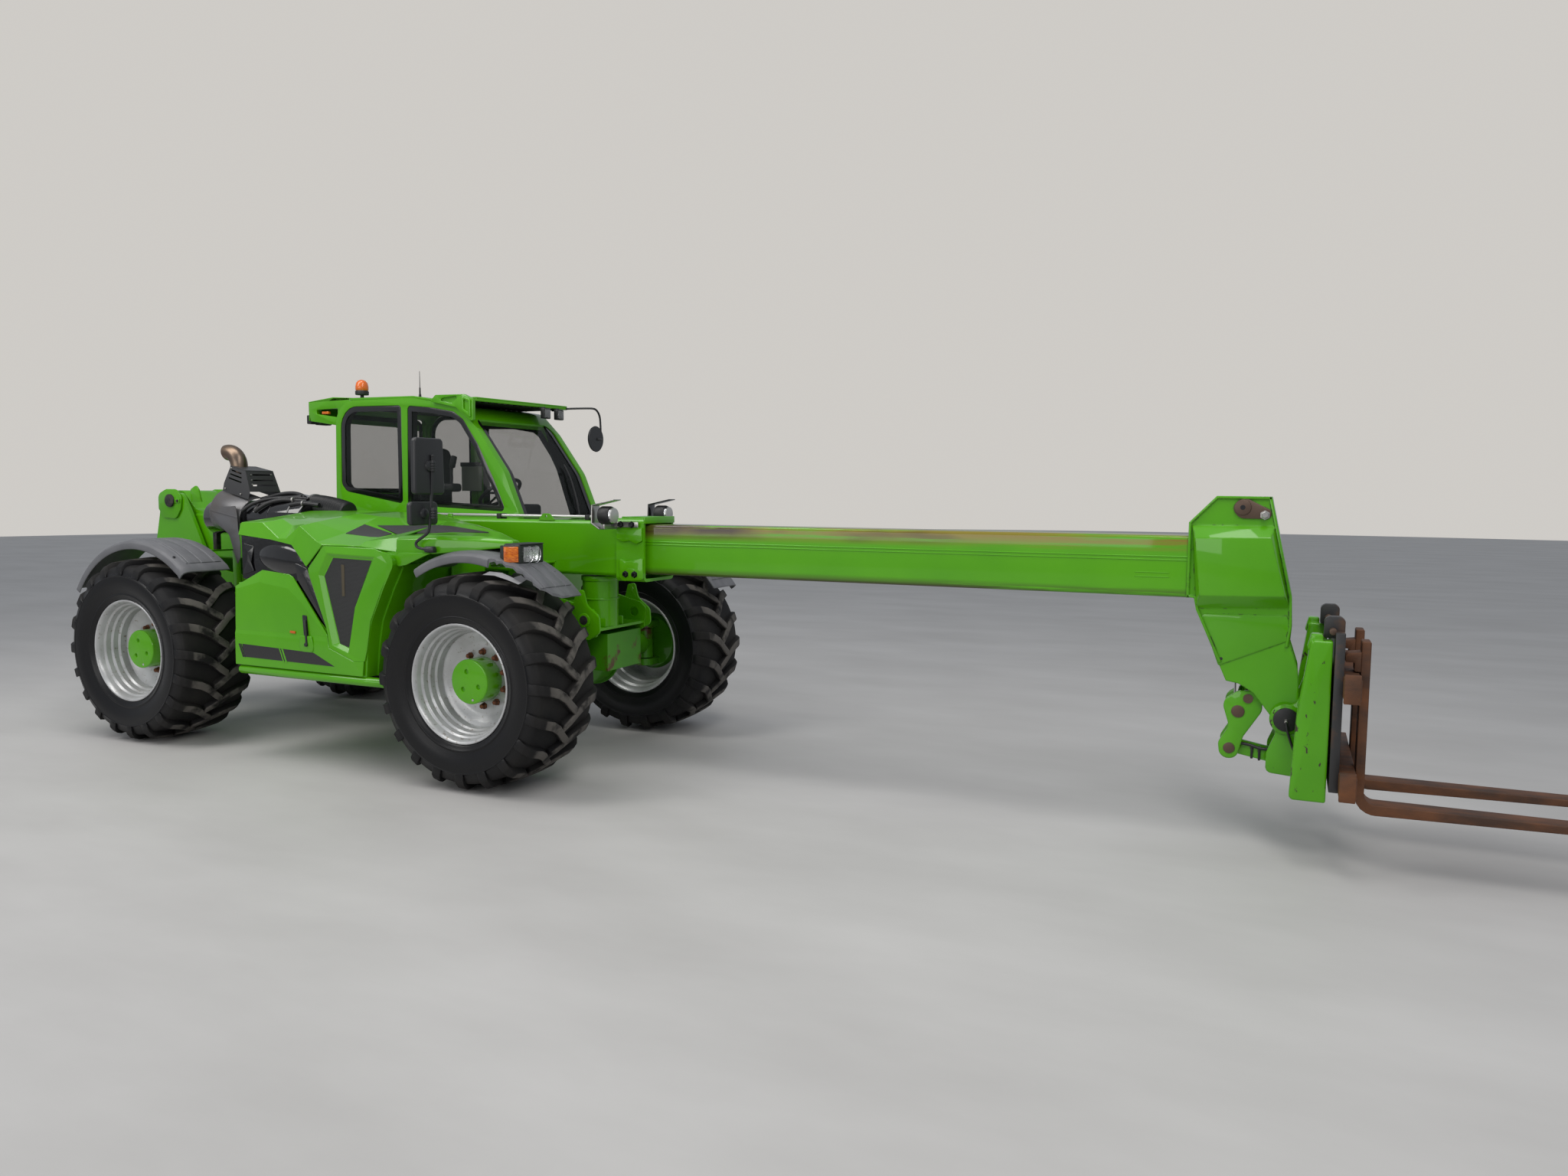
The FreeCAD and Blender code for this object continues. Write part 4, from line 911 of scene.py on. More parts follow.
hood_skin = facets("hood_skin", hood_corners, ["r0 r1 z1", "r0 z1 z2 s1", "z2 z3 s2 s1", "z3 z4 s2", "z4 s3 s2",
    "z4 z5 s4 s3", "z5 z6 s4", "r1 r2 m1 z1", "r2 r3 n1 m1", "r3 r4 o1 n1", "z1 m1 m2 z2", "z2 m2 z3", "z3 m2 m3 z4",
    "m1 n1 n2 m3 m2", "z4 m3 m4 z5", "m3 n2 n3 m4", "z5 m4 n5 m5 z6", "z6 m5 m6 z7", "m5 n5 m6", "m4 n3 n4 n5",
    "n5 n4 m6", "n1 o1 o2 n3 n2", "n3 o2 o3 n4"], green, 10, 7, 5)
# Two black bars on the hood's rear face stand for its slots: painted shade in the openings.
slots = [box("rear_slot_painted_shade", 1078, 1096, -1120, -900, z, z + 12, black_plastic, 2) for z in (1536, 1562)]
lip = plate("rear_lip", [(-1140, 1500), (-1126, 1574), (-890, 1600), (-545, 1642), (-360, 1644), (-360, 1560),
    (-900, 1510)], "front", 1084, 1090, green, 2)


def on_top(name, rows, made, up=3.0, thick=6.0):
    """A flat panel laid on the hood's slope through given places."""
    face = trace(name, [at(x, y, z + up) for x, y, z in rows], fill=True)
    return thickened(face, (0, 0, -thick / 1000), made, 1.5)


diamond = on_top("diamond_vent", [(1848, -950, 1517), (1851, -790, 1572), (2218, -920, 1522), (2165, -1000, 1494)],
    mesh_black)
long_vent = on_top("long_vent", [(1976, -800, 1567), (2415, -765, 1574), (2415, -925, 1524), (2275, -930, 1520)],
    mesh_black)
hood_parts = [hood_skin, lip, *slots, diamond, long_vent]
for x in (1200, 2200):
    hood_parts += [
        bar("hinge_eye", (x - 21, -322, 1592), (x + 21, -322, 1592), 15, green, 2),
        box("hinge_arm", x - 18, x + 18, -370, -326, 1584, 1600, green, 2),
        box("hinge_riser", x - 18, x + 18, -368, -354, 1592, 1644, green, 2),
    ]
hood_piece = welded("engine_hood", *hood_parts)
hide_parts("hood")
carried("hood", "green_paint", hood_piece)

# ---------------------------------------------------------------- Front cowl
# The fixed end of the enclosure: a tapering moulding that carries the hood's line forward over the wheel
# and along the boom, with a rolled shoulder. Screwed to the frame and to the front fender's stay.
COWL = [
    # x, then the outline across: y, z
    (2424, [(-1102, 1400), (-1096, 1500), (-1056, 1519), (-930, 1524), (-640, 1600), (-500, 1602), (-500, 1400)]),
    (2700, [(-1082, 1412), (-1074, 1508), (-1038, 1530), (-900, 1540), (-720, 1582), (-650, 1580), (-650, 1412)]),
    (3000, [(-1044, 1440), (-1036, 1504), (-1006, 1528), (-900, 1533), (-830, 1545), (-790, 1540), (-790, 1440)]),
    (3225, [(-985, 1466), (-981, 1490), (-966, 1506), (-930, 1504), (-915, 1500), (-902, 1488), (-902, 1466)]),
]
cowl = loft("front_cowl_skin", [[at(x, y, z) for y, z in rows] for x, rows in COWL])
soften(cowl, 0.016, 4, 12)
set_finish(cowl, green)
cowl_vent = on_top("cowl_vent", [(2428, -770, 1577), (2560, -762, 1572), (2960, -872, 1544), (2428, -922, 1530)],
    mesh_black, 4.0, 14.0)
cowl_foot = box("cowl_foot", 2430, 2442, -620, -300, 1000, 1420, green)
cowl_side = plate("cowl_side", [(2330, 1398), (2348, 1418), (2700, 1418), (2640, 1396), (2500, 1340), (2440, 1330)],
    "side", -1100, -1082, green, 5)
cowl_piece = welded("engine_cowl", cowl, cowl_vent, cowl_foot, cowl_side)
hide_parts("front_cowl")
carried("machine", "green_paint", cowl_piece)
# ---------------------------------------------------------------- Fenders
# Grey moulded plastic mudguards with a deep rolled lip, a raised panel with three grooves, and recessed
# screws that hold them to stays on the frame. The right front one has lost a piece of its outer edge.
fender_grey = finish("fender_plastic", (0.135, 0.138, 0.150), 0.50, grain=(260, 2, 0.0004, 0.4),
    tone=(7, 8, 0.35, 0.75, (0.118, 0.120, 0.130), (0.160, 0.162, 0.172), (1, 2.5, 1)))


def span(side, near, far):
    """Two distances from the middle plane as low and high y on one side."""
    return sorted((side * near, side * far))


def arched(name, rows, axle, first, last, side, made, flare=(), edge=3.0):
    """A band round an axle: rows give radius and place across, angles are degrees up from ahead."""
    start = math.radians(first)
    points = [at(axle + radius * math.cos(start), side * across, AXLE_HEIGHT + radius * math.sin(start)) for radius,
        across in rows]
    piece = trace(name, points + points[:1])
    with editing(piece):
        bpy.ops.mesh.remove_doubles(threshold=0.00001)
        bpy.ops.mesh.spin(steps=max(4, int((first - last) / 3)), angle=math.radians(last - first),
            center=at(axle, 0, AXLE_HEIGHT), axis=(0, 1, 0))
        for x, z in flare:
            pull((x / 1000, 0, z / 1000))
        bpy.ops.mesh.select_all(action="SELECT")
        bpy.ops.mesh.fill_holes(sides=0)
    turn_out(piece)
    if edge:
        soften(piece, edge / 1000, 2, 28)
    set_finish(piece, made)
    return piece


FENDER_RADIUS, STAY_TOP = 786, 1330
FENDER_SKIN = [
    # radius, place across
    (773, 782), (783, 780), (785, 790), (786, 1084), (783, 1112), (774, 1136), (760, 1148), (738, 1150), (722, 1150),
    (716, 1146), (722, 1140), (748, 1138), (764, 1128), (772, 1106), (774, 1080),
]
FENDER_PANEL = [(784, 806), (790, 812), (790, 862), (786, 864), (786, 870), (790, 872), (790, 962), (786, 964),
    (786, 970), (790, 972), (790, 1060), (786, 1062), (786, 1068), (790, 1070), (790, 1078), (784, 1092)]
fenders = {"rear": [], "front": []}
# end, side, tail and front in degrees, flare at the front, panel from and to
for end, side, tail, front, flare, panel_tail, panel_front in (
    ("rear", -1, 148, 52, ((22, -14), (24, -30)), 100, 53), ("rear", 1, 148, 62, ((20, -12),), 100, 66),
    ("front", -1, 121, 42, (), 112, 48), ("front", 1, 121, 36, ((10, -12),), 112, 40),
):
    axle = 0 if end == "rear" else WHEEL_BASE
    skin = arched("fender_skin", FENDER_SKIN, axle, tail, front, side, fender_grey, flare)
    if (end, side) == ("front", -1):
        tear = plate("tear", [(3176, -1180), (3180, -1140), (3214, -1128), (3236, -1136), (3262, -1120),
            (3300, -1131), (3334, -1112), (3372, -1121), (3398, -1104), (3430, -1118), (3462, -1100), (3480, -1112),
            (3517, -1096), (3530, -1060), (3556, -1034), (3566, -990), (3578, -960), (3576, -905), (3590, -860),
            (3588, -774), (3800, -760), (3800, -1180)], "top", 1000, 1465, fender_grey, 0)
        skin = cut_out(skin, tear)
    ridge = arched("fender_panel", FENDER_PANEL, axle, panel_tail, panel_front, side, fender_grey, (), 1.5)
    guard = welded("fender_" + end, skin, ridge)
    fenders[end].append(guard)
    for x, y in ((axle + 403, 1120), (axle + 420, 835)):
        height = AXLE_HEIGHT + math.sqrt(FENDER_RADIUS ** 2 - (x - axle) ** 2)
        if (end, side) != ("front", -1) or y < 1000:
            fenders[end].append(bar("screw_recess", (x, side * y, height - 3), (x + 2, side * y, height + 2.5), 9,
                black_plastic, 1))
    fenders[end] += [
        box("stay", axle - 38, axle + 38, *span(side, 300, 866), STAY_TOP, STAY_TOP + 12, green, 3),
        box("stay_riser", axle - 38, axle + 38, *span(side, 300, 312), 1000, STAY_TOP + 12, green, 3),
        box("stay_post", axle - 38, axle + 38, *span(side, 831, 867), STAY_TOP + 12, 1428, green, 3),
    ]
torn_plastic = finish("torn_plastic", (0.32, 0.32, 0.33), 0.6)
flap = facets("hanging_flap", {"a": (3128, -1136, 1306), "b": (3176, -1128, 1328), "c": (3262, -1118, 1322),
    "d": (3330, -1108, 1296), "e": (3392, -1100, 1268), "f": (3372, -1112, 1258), "g": (3300, -1128, 1284),
    "h": (3220, -1140, 1306)}, ["a b h", "b c g h", "c d g", "d e f g"], torn_plastic, 3, 1)
link_strip = facets("flap_root", {"a": (3340, -1118, 1296), "b": (3392, -1104, 1268), "c": (3428, -1102, 1288),
    "d": (3392, -1110, 1312)}, ["a b c d"], fender_grey, 3, 1)
fenders["front"] += [flap, link_strip]
for side in SIDES:
    fenders["front"].append(plate("lamp_pad", [(3180, 1416), (3205, 1404), (3345, 1350), (3348, 1366), (3215, 1420)],
        "side", *span(side, 800, 1080), fender_grey, 4))
for end in ("rear", "front"):
    both = welded(end + "_mudguards", *fenders[end])
    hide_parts(end + "_fenders")
    carried("machine", "grey_plastic", both)

# ---------------------------------------------------------------- Lamps
# Head lamps with a wrap-round amber flasher stand on the front fenders, round work lamps in bent guards on
# the boom, small ones on the cab, and an orange beacon on the roof. Moulded housings, clear lenses.
lamp_shell = finish("lamp_housing", (0.022, 0.026, 0.024), 0.45)
amber = finish("amber_lens", (0.75, 0.16, 0.005), 0.18, coat=0.5, tone=(40, 2, 0.35, 0.65, (0.50, 0.07, 0.0),
    (0.85, 0.24, 0.01), (1, 1, 4)))
clear = finish("lamp_glass", (0.92, 0.94, 0.95), 0.04, Transmission_Weight=0.85, IOR=1.45)
mirror_bowl = finish("lamp_reflector", (0.80, 0.81, 0.82), 0.14, metal=1.0, grain=(60, 1, 0.004, 0.6, (1, 1, 2.2)))
BOWL = [(0, -20), (22, -16), (40, -4), (52, 12), (52, 14), (40, -2), (22, -14), (0, -18)]
head_lamps = []
for side in SIDES:
    shell = cut_out(box("lamp_shell", 3216, 3336, *span(side, 822, 1052), 1371, 1486, lamp_shell, 9, 3),
        box("lamp_room", 3306, 3360, *span(side, 868, 1014), 1381, 1470, lamp_shell, 0))
    head_lamps += [
        shell,
        box("lamp_hood", 3224, 3344, *span(side, 830, 1046), 1483, 1490, lamp_shell, 3),
        *[spun("bowl", BOWL, at(3326, side * y, 1424), (1, 0, 0), 32) for y in (905, 975)],
        box("lens", 3332, 3339, *span(side, 868, 1014), 1381, 1470, clear, 2),
        plate("flasher", [(3330, side * 1052), (3334, side * 1060), (3278, side * 1112), (3262, side * 1106),
            (3262, side * 1052)], "top", 1382, 1474, amber, 4),
        plate("flasher_back", [(3300, side * 1050), (3262, side * 1100), (3226, side * 1092), (3226, side * 1050)],
            "top", 1376, 1480, lamp_shell, 4),
    ]
    for piece in head_lamps[-5:-3]:
        set_finish(piece, mirror_bowl)
    head_lamps += [box("housing_rib", 3336, 3339, *span(side, 1018, 1048), z, z + 6, lamp_shell, 1)
        for z in range(1384, 1460, 18)]
beacon_amber = finish("beacon_lens", (0.90, 0.17, 0.01), 0.22, coat=0.6, Transmission_Weight=0.15)
beacon = [
    bar("beacon_stem", (630, 400, 2500), (630, 400, 2562), 14, black_plastic, 2),
    spun("beacon_foot", [(0, 0), (50, 0), (52, 8), (52, 26), (46, 36), (0, 36)], at(630, 400, 2562), (0, 0, 1), 48),
    spun("beacon_dome", [(46, 34), (50, 42), (50, 66), (44, 94), (30, 112), (12, 120), (0, 122), (0, 34)],
        at(630, 400, 2562), (0, 0, 1), 48),
]
set_finish(beacon[1], black_plastic)
set_finish(beacon[2], beacon_amber)
smooth(beacon[2], 50)
antenna = [
    bar("antenna_foot", (1425, 200, 2492), (1425, 200, 2530), 12, black_plastic, 3, tip=8),
    bar("antenna_rod", (1425, 200, 2526), (1425, 200, 2698), 3.5, black_plastic, 0, 12, tip=2),
    bar("antenna_spring", (1425, 200, 2528), (1425, 200, 2575), 6, dark_steel, 1, 16),
]
roof_lamps = []
for y in (820, 990):
    roof_lamps += [
        box("work_lamp", 2098, 2138, y - 42, y + 42, 2366, 2446, black_plastic, 8, 3),
        box("work_lens", 2134, 2142, y - 34, y + 34, 2374, 2438, clear, 4),
        box("work_bowl", 2131, 2135, y - 35, y + 35, 2373, 2439, mirror_bowl, 0),
        box("work_bracket", 2054, 2112, y - 10, y + 10, 2436, 2458, black_plastic, 2),
    ]
roof_lamps += [
    box("rear_flasher", 248, 300, 250, 370, 2326, 2396, amber, 10, 3),
    box("rear_lamp", 252, 298, 180, 250, 2326, 2396, black_plastic, 8, 3),
    box("rear_lamp_back", 296, 318, 182, 372, 2338, 2386, black_plastic, 3),
]
lamp_group = welded("road_lamps", *head_lamps, *beacon, *antenna, *roof_lamps)
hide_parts("lamps")
carried("machine", "lamp_plastic", lamp_group)

# ---------------------------------------------------------------- Mirrors
# Two black housings in ball clamps on a bent steel arm over the right fender, and a round mirror on an arm
# from the visor. Moulded shells that hold silvered glass.
mirror_plastic = finish("mirror_shell", (0.020, 0.021, 0.023), 0.38, grain=(380, 2, 0.0003, 0.5))
silvered = finish("silvered_glass", (0.86, 0.88, 0.90), 0.03, metal=1.0)
mirror_parts = []
# rear and front face, then y and z of two opposite corners, clamp's height, width lost at the top
for rear, front, y0, z0, y1, z1, clamp_z, narrow in (
    (2697, 2735, -1250, 1776, -998, 2114, 1946, 8), (2654, 2690, -1245, 1590, -1012, 1732, 1662, 0),
):
    for name, rim, bend, faces, made, edge in (("mirror_shell", 0, 26, (rear, front), mirror_plastic, 11),
                                               ("mirror_glass", 14, 18, (rear - 1, rear + 3), silvered, 0)):
        low, high, sloped = z0 + rim, z1 - rim, rim + narrow
        outline = [(y0 + rim, low, bend), (y1 - rim, low, bend), (y1 - sloped, high, bend), (y0 + sloped, high, bend)]
        mirror_parts.append(plate(name, outline, "front", *faces, made, edge, 4))
    mirror_parts.append(spun("ball_cup", [(0, 0), (34, 0), (30, 10), (20, 14), (0, 16)],
        at(front - 1, -1132, clamp_z), (1, 0, 0), 32))
    set_finish(mirror_parts[-1], mirror_plastic)
    for rib in range(4):
        mirror_parts.append(bar("clamp_rib", (2744, -1113, clamp_z - 30 + rib * 15),
            (2744, -1113, clamp_z - 21 + rib * 15), 21, mirror_plastic, 2))
    mirror_parts.append(bar("clamp", (2744, -1113, clamp_z - 34), (2744, -1113, clamp_z + 34), 16, mirror_plastic, 3))
mirror_parts += [
    tube("mirror_arm", [(2744, -1113, 2004), (2742, -1113, 1900), (2728, -1113, 1700), (2720, -1114, 1640),
        (2712, -1115, 1560), (2690, -1115, 1535), (2625, -1115, 1500), (2600, -1115, 1480), (2606, -1113, 1456),
        (2640, -1108, 1445), (2700, -1100, 1443)], 9, mirror_plastic, steps=8),
    bar("arm_clamp", (2668, -1106, 1442), (2736, -1098, 1444), 19, mirror_plastic, 5),
    bar("arm_tip", (2744, -1113, 2000), (2744, -1113, 2014), 12, mirror_plastic, 5),
    box("arm_foot", 2660, 2730, -1108, -1076, 1424, 1440, mirror_plastic, 3),
]
left_parts = [
    spun("round_mirror", [(0, -16), (60, -14), (90, -6), (100, 2), (103, 10), (98, 15), (0, 15)],
        at(2356, 1140, 2220), (1, 0, 0), 48),
    spun("round_glass", [(0, -17.5), (58, -15.5), (58, -13), (0, -13)], at(2356, 1140, 2220), (1, 0, 0), 48),
    tube("round_arm", [(2060, 1120, 2464), (2120, 1120, 2466), (2300, 1124, 2464), (2346, 1128, 2462),
        (2356, 1160, 2456), (2356, 1205, 2420), (2356, 1222, 2360), (2356, 1226, 2200)], 8, mirror_plastic, steps=8),
    bar("round_clamp", (2372, 1150, 2220), (2360, 1232, 2220), 12, mirror_plastic, 3),
    bar("round_clamp", (2356, 1225, 2180), (2356, 1225, 2262), 15, mirror_plastic, 3),
]
set_finish(left_parts[0], mirror_plastic)
set_finish(left_parts[1], silvered)
mirror_group = welded("mirror_set", *mirror_parts, *left_parts)
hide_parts("mirrors")
carried("machine", "black_plastic", mirror_group)

# ---------------------------------------------------------------- Exhaust and air duct
# A glossy black silencer duct lies beside the boom with hoses strapped on top. Its rear end sits in a grey
# sheet-metal sleeve with a folded apron, under a slotted guard from which the heat-tinted tailpipe bends back.
duct_black = finish("duct_lacquer", (0.006, 0.006, 0.007), 0.10, coat=0.7, coat_rough=0.03,
    grain=(5, 2, 0.003, 0.3, (1, 2, 2)))
hose_black = finish("hose_rubber", (0.010, 0.010, 0.011), 0.38, grain=(90, 3, 0.001, 0.5))
bronze = finish("tinted_pipe", (0.22, 0.17, 0.13), 0.36, metal=1.0, tone=(5, 3, 0.3, 0.7, (0.27, 0.195, 0.14),
    (0.15, 0.12, 0.10), (1, 1, 1.6)))
guard_charcoal = finish("guard_coating", (0.035, 0.035, 0.037), 0.42, grain=(500, 2, 0.0003, 0.5))
sleeve_grey = finish("sleeve_paint", (0.125, 0.125, 0.130), 0.30, metal=0.3,
    tone=(2.5, 4, 0.40, 0.62, (0.135, 0.135, 0.142), (0.115, 0.105, 0.100), (1, 1, 2)))


def ring_rows(centre, radius, axis=(1, 0, 0), steps=40, first=0.0, last=360.0):
    """Places round a circle whose axis is along x, tipped by the axis given."""
    left = Vector((0, 1, 0))
    over = left.cross(Vector(axis).normalized()).normalized()
    gaps = steps if last - first == 360.0 else steps - 1
    angles = [math.radians(first + (last - first) * step / gaps) for step in range(steps)]
    return [at(*centre) + (left * math.cos(angle) + over * math.sin(angle)) * radius / 1000 for angle in angles]


duct = [
    bar("silencer", (20, -470, 1590), (1020, -470, 1590), 130, duct_black, 14, 64),
    bar("duct_seam", (700, -470, 1590), (708, -470, 1590), 132, duct_black, 1, 64),
    box("duct_stand", -20, 20, -490, -450, 1342, 1480, dark_steel, 3),
    box("duct_stand", 962, 1038, -508, -432, 1120, 1480, dark_steel, 3),
    tube("upper_hose", [(440, -350, 1668), (520, -345, 1690), (640, -340, 1694), (780, -345, 1690), (880, -360, 1676),
        (940, -372, 1672)], 80, duct_black, steps=10),
]
ribs = []
for step in range(33):
    share = step / 32
    centre = (930 + 400 * share, -372 - 60 * share, 1676 - 12 * share - 40 * share * share)
    ribs.append(ring_rows(centre, 92 if step % 2 else 78, (1, -0.1, -0.12), 36))
hose = loft("ribbed_hose", ribs)
soften(hose, 0.003, 2, 25)
set_finish(hose, hose_black)
duct.append(hose)
# places, radius
for places, radius in (
    ([(470, -620, 1640), (520, -590, 1690), (600, -550, 1722), (680, -500, 1738), (770, -470, 1742),
      (880, -440, 1750)], 13),
    ([(600, -615, 1640), (640, -600, 1672), (700, -560, 1712), (800, -530, 1728), (900, -500, 1722),
      (960, -470, 1716)], 15),
    ([(640, -590, 1690), (700, -540, 1722), (800, -500, 1745), (900, -470, 1740), (960, -450, 1735)], 11),
    ([(500, -470, 1728), (640, -440, 1764), (760, -420, 1776), (860, -420, 1762), (900, -430, 1740)], 16),
    ([(900, -560, 1690), (980, -545, 1704), (1060, -530, 1700), (1140, -520, 1690)], 17),
):
    duct.append(tube("duct_hose", places, radius, hose_black, steps=8))
clamp_steel = finish("clamp_steel", (0.45, 0.44, 0.42), 0.3, metal=0.9)
for start, end, radius in (((872, -520, 1728), (884, -518, 1728), 18), ((1000, -542, 1703), (1012, -541, 1703), 20),
                           ((930, -372, 1676), (944, -374, 1675), 95)):
    duct.append(bar("hose_clamp", start, end, radius, clamp_steel, 1, 40))
STRAP = [(130.5, -6), (133.5, -6), (133.5, 6), (130.5, 6)]
for x in (560, 900):
    duct.append(arched("strap", STRAP, 0, 150, 20, LEFT, clamp_steel, (), 0))
    with editing(duct[-1]):
        bpy.ops.transform.rotate(value=math.radians(90), orient_axis="Z", center_override=at(0, 0, AXLE_HEIGHT))
        bpy.ops.transform.translate(value=(x / 1000, -0.470, 0.935))
duct_piece = welded("silencer_duct", *duct)
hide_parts("air_duct")
carried("machine", "black_plastic", duct_piece)

sleeve_rows = []
for x, z, radius in ((150, 1646, 168), (156, 1645, 171), (290, 1618, 163), (436, 1591, 153), (442, 1590, 150)):
    outer, inner = [ring_rows((x, -470, z), size, (1, 0, -0.20), 48, 70, 300) for size in (radius, radius - 5)]
    sleeve_rows.append(outer + inner[::-1])
sleeve = loft("sleeve", sleeve_rows)
smooth(sleeve, 40)
set_finish(sleeve, sleeve_grey)
apron_rows = [(150, 1660, 10), (166, 1610, 60), (240, 1540, 80), (352, 1470, 60), (384, 1380, 60), (430, 1250, 6),
    (462, 1300, 10), (466, 1400, 60), (450, 1500, 60), (444, 1600, 10), (430, 1680, 10)]
apron = plate("apron", apron_rows, "side", -641, -636, sleeve_grey, 1)
sleeve_seam = plate("apron_hem", [(160, 1640), (158, 1652), (446, 1600), (446, 1588)], "side", -643, -641,
    sleeve_grey, 1)
shroud = welded("grey_sleeve", sleeve, apron, sleeve_seam)
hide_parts("grey_shroud")
carried("machine", "grey_plastic", shroud)

guard_corners = {
    # corner, then x, y and z of the guard: top, fold and foot
    "a": (242, -520, 1972), "b": (410, -528, 1937), "c": (424, -297, 1936), "d": (242, -300, 1972),
    "e": (216, -560, 1848), "f": (474, -548, 1783), "g": (462, -270, 1783), "h": (216, -270, 1848),
    "i": (202, -562, 1790), "j": (472, -562, 1726), "k": (466, -268, 1726), "l": (202, -268, 1790),
}
guard_skin = facets("guard_skin", guard_corners, ["a b f e", "b c g f", "c d h g", "d a e h", "e f j i", "g h l k"],
    guard_charcoal, 4, 3, 8)
guard_lid = facets("guard_lid", guard_corners, ["a b c d"], guard_charcoal, 4, 2, 8)
slot_cuts = []
# start and end of each slot on the side face, then on the front face
side_slots = [((262, -525, 1944), (374, -531, 1916)), ((258, -532, 1916), (380, -537, 1884)),
    ((254, -540, 1886), (384, -543, 1850))]
front_slots = [((424, -480, 1908), (424, -330, 1908)), ((440, -500, 1868), (436, -316, 1868)),
    ((452, -506, 1830), (448, -300, 1830))]
for start, end in side_slots + front_slots:
    slot_cuts.append(bar("slot", start, end, 5.5, guard_charcoal, 0, 12))
    deeper = (5, 1, 1) if (start, end) in front_slots else (1, 5, 1)
    with editing(slot_cuts[-1]):
        bpy.ops.transform.resize(value=deeper, center_override=(at(*start) + at(*end)) / 2)
guard_parts = [cut_out(guard_skin, welded("slots", *slot_cuts)), guard_lid]
for facing, places in (
    ((0, -1, 0), ((256, -524, 1958), (230, -562, 1806), (392, -562, 1764))),
    ((1, 0, 0), ((430, -498, 1908), (436, -328, 1912), (444, -505, 1868), (452, -508, 1836))),
):
    guard_parts += [bolt("guard_screw", place, facing, 5.5, clamp_steel) for place in places]
guard_piece = welded("slotted_guard", *guard_parts)
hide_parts("exhaust_guard")
carried("machine", "grey_plastic", guard_piece)

BEND_RADIUS, PIPE_RADIUS, STEPS = 102, 60, 14
bend = []
for step in range(STEPS + 1):
    angle = math.radians(-12 + 112 * step / STEPS)
    round_bend = max(angle, 0.0)  # under zero the pipe is straight
    rise = BEND_RADIUS * math.sin(round_bend) + min(angle, 0.0) * 300
    centre = (121 + BEND_RADIUS * math.cos(round_bend), -430, 1976 + rise)
    bend.append(ring_rows(centre, PIPE_RADIUS, (math.sin(round_bend) + 0.0001, 0, -math.cos(round_bend)), 40))
pipe = loft("tail_bend", bend, caps=False)
walled(pipe, 3)
smooth(pipe, 40)
set_finish(pipe, bronze)
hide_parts("tailpipe")
carried("machine", "bronze_steel", pipe)

# ---------------------------------------------------------------- Cab
# The cab is a welded frame of bent green tube with bonded panes, each with a black printed border and a rubber
# edge. A sheet-steel roof has a forked tail with lamps and a slatted visor. The left side is a glazed door.
cab_green = gloss_green("cab_green")
seal_black = finish("pane_border", (0.006, 0.006, 0.007), 0.16, coat=0.5)
trim_black = finish("cab_trim", (0.016, 0.016, 0.018), 0.55, grain=(300, 2, 0.0004, 0.5))
pane_glass = finish("cab_pane", (0.012, 0.016, 0.014), 0.0, **{"Alpha": 0.24})
pale_card = finish("pale_card", (0.42, 0.46, 0.36), 0.6)
CAB_RIGHT, CAB_LEFT = 150, 1150
SIDE_OUTLINE = [(800, 760, 40), (650, 1230, 60), (588, 1700, 60), (608, 2496, 190), (1390, 2496, 90),
    (1835, 2425, 120), (2010, 2255, 180), (2250, 1938, 260), (2380, 1634, 40), (2280, 1220, 60), (2150, 760, 40)]
ROOM_OUTLINE = [(832, 792, 30), (684, 1236, 50), (622, 1702, 50), (642, 2462, 158), (1388, 2462, 80),
    (1822, 2394, 100), (1984, 2236, 160), (2220, 1922, 240), (2344, 1636, 30), (2246, 1226, 50), (2124, 792, 30)]
REAR_SIDE = [(1278, 1698, 30), (700, 1790, 60), (646, 1846, 60), (658, 2450, 165), (1280, 2444, 30)]
FRONT_SIDE = [(1325, 1690, 30), (1343, 2440, 30), (1560, 2422, 60), (1790, 2385, 80), (1880, 2325, 80),
    (2013, 2142, 140), (2157, 1881, 200), (2262, 1650, 30)]
LEFT_REAR = [(1108, 1500, 30), (700, 1560, 60), (646, 1846, 60), (658, 2450, 165), (1110, 2444, 30)]
DOOR_HOLE = [(1172, 878, 30), (1172, 2438, 34), (1562, 2430, 60), (1794, 2393, 80), (1886, 2331, 80),
    (2020, 2147, 140), (2165, 1884, 200), (2272, 1648, 40), (2183, 1236, 50), (2108, 878, 40)]


def shrunk(rows, by):
    """The rows of an outline moved inwards by a width, corner radii less by as much."""
    out = []
    ring = [Vector((row[0], row[1])) for row in rows]
    area = sum(ring[i - 1].x * ring[i].y - ring[i].x * ring[i - 1].y for i in range(len(ring)))
    turn = 1 if area > 0 else -1
    for index, here in enumerate(ring):
        back = (here - ring[index - 1]).normalized()
        on = (ring[(index + 1) % len(ring)] - here).normalized()
        inward = [Vector((-way.y, way.x)) * turn for way in (back, on)]
        shift = (inward[0] + inward[1]) / (1 + inward[0].dot(inward[1]))
        place = here + shift * by
        out.append((place.x, place.y, max(rows[index][2] - by, 4)))
    return out


def framed(name, rows, plane, low, high, width, made, edge=1.0):
    """A flat frame: an outline with the same outline cut out of it further in."""
    frame_piece = plate(name, rows, plane, low, high, made, edge)
    hole = plate("hole", shrunk(rows, width), plane, low - 20, high + 20, made, 0)
    return cut_out(frame_piece, hole)


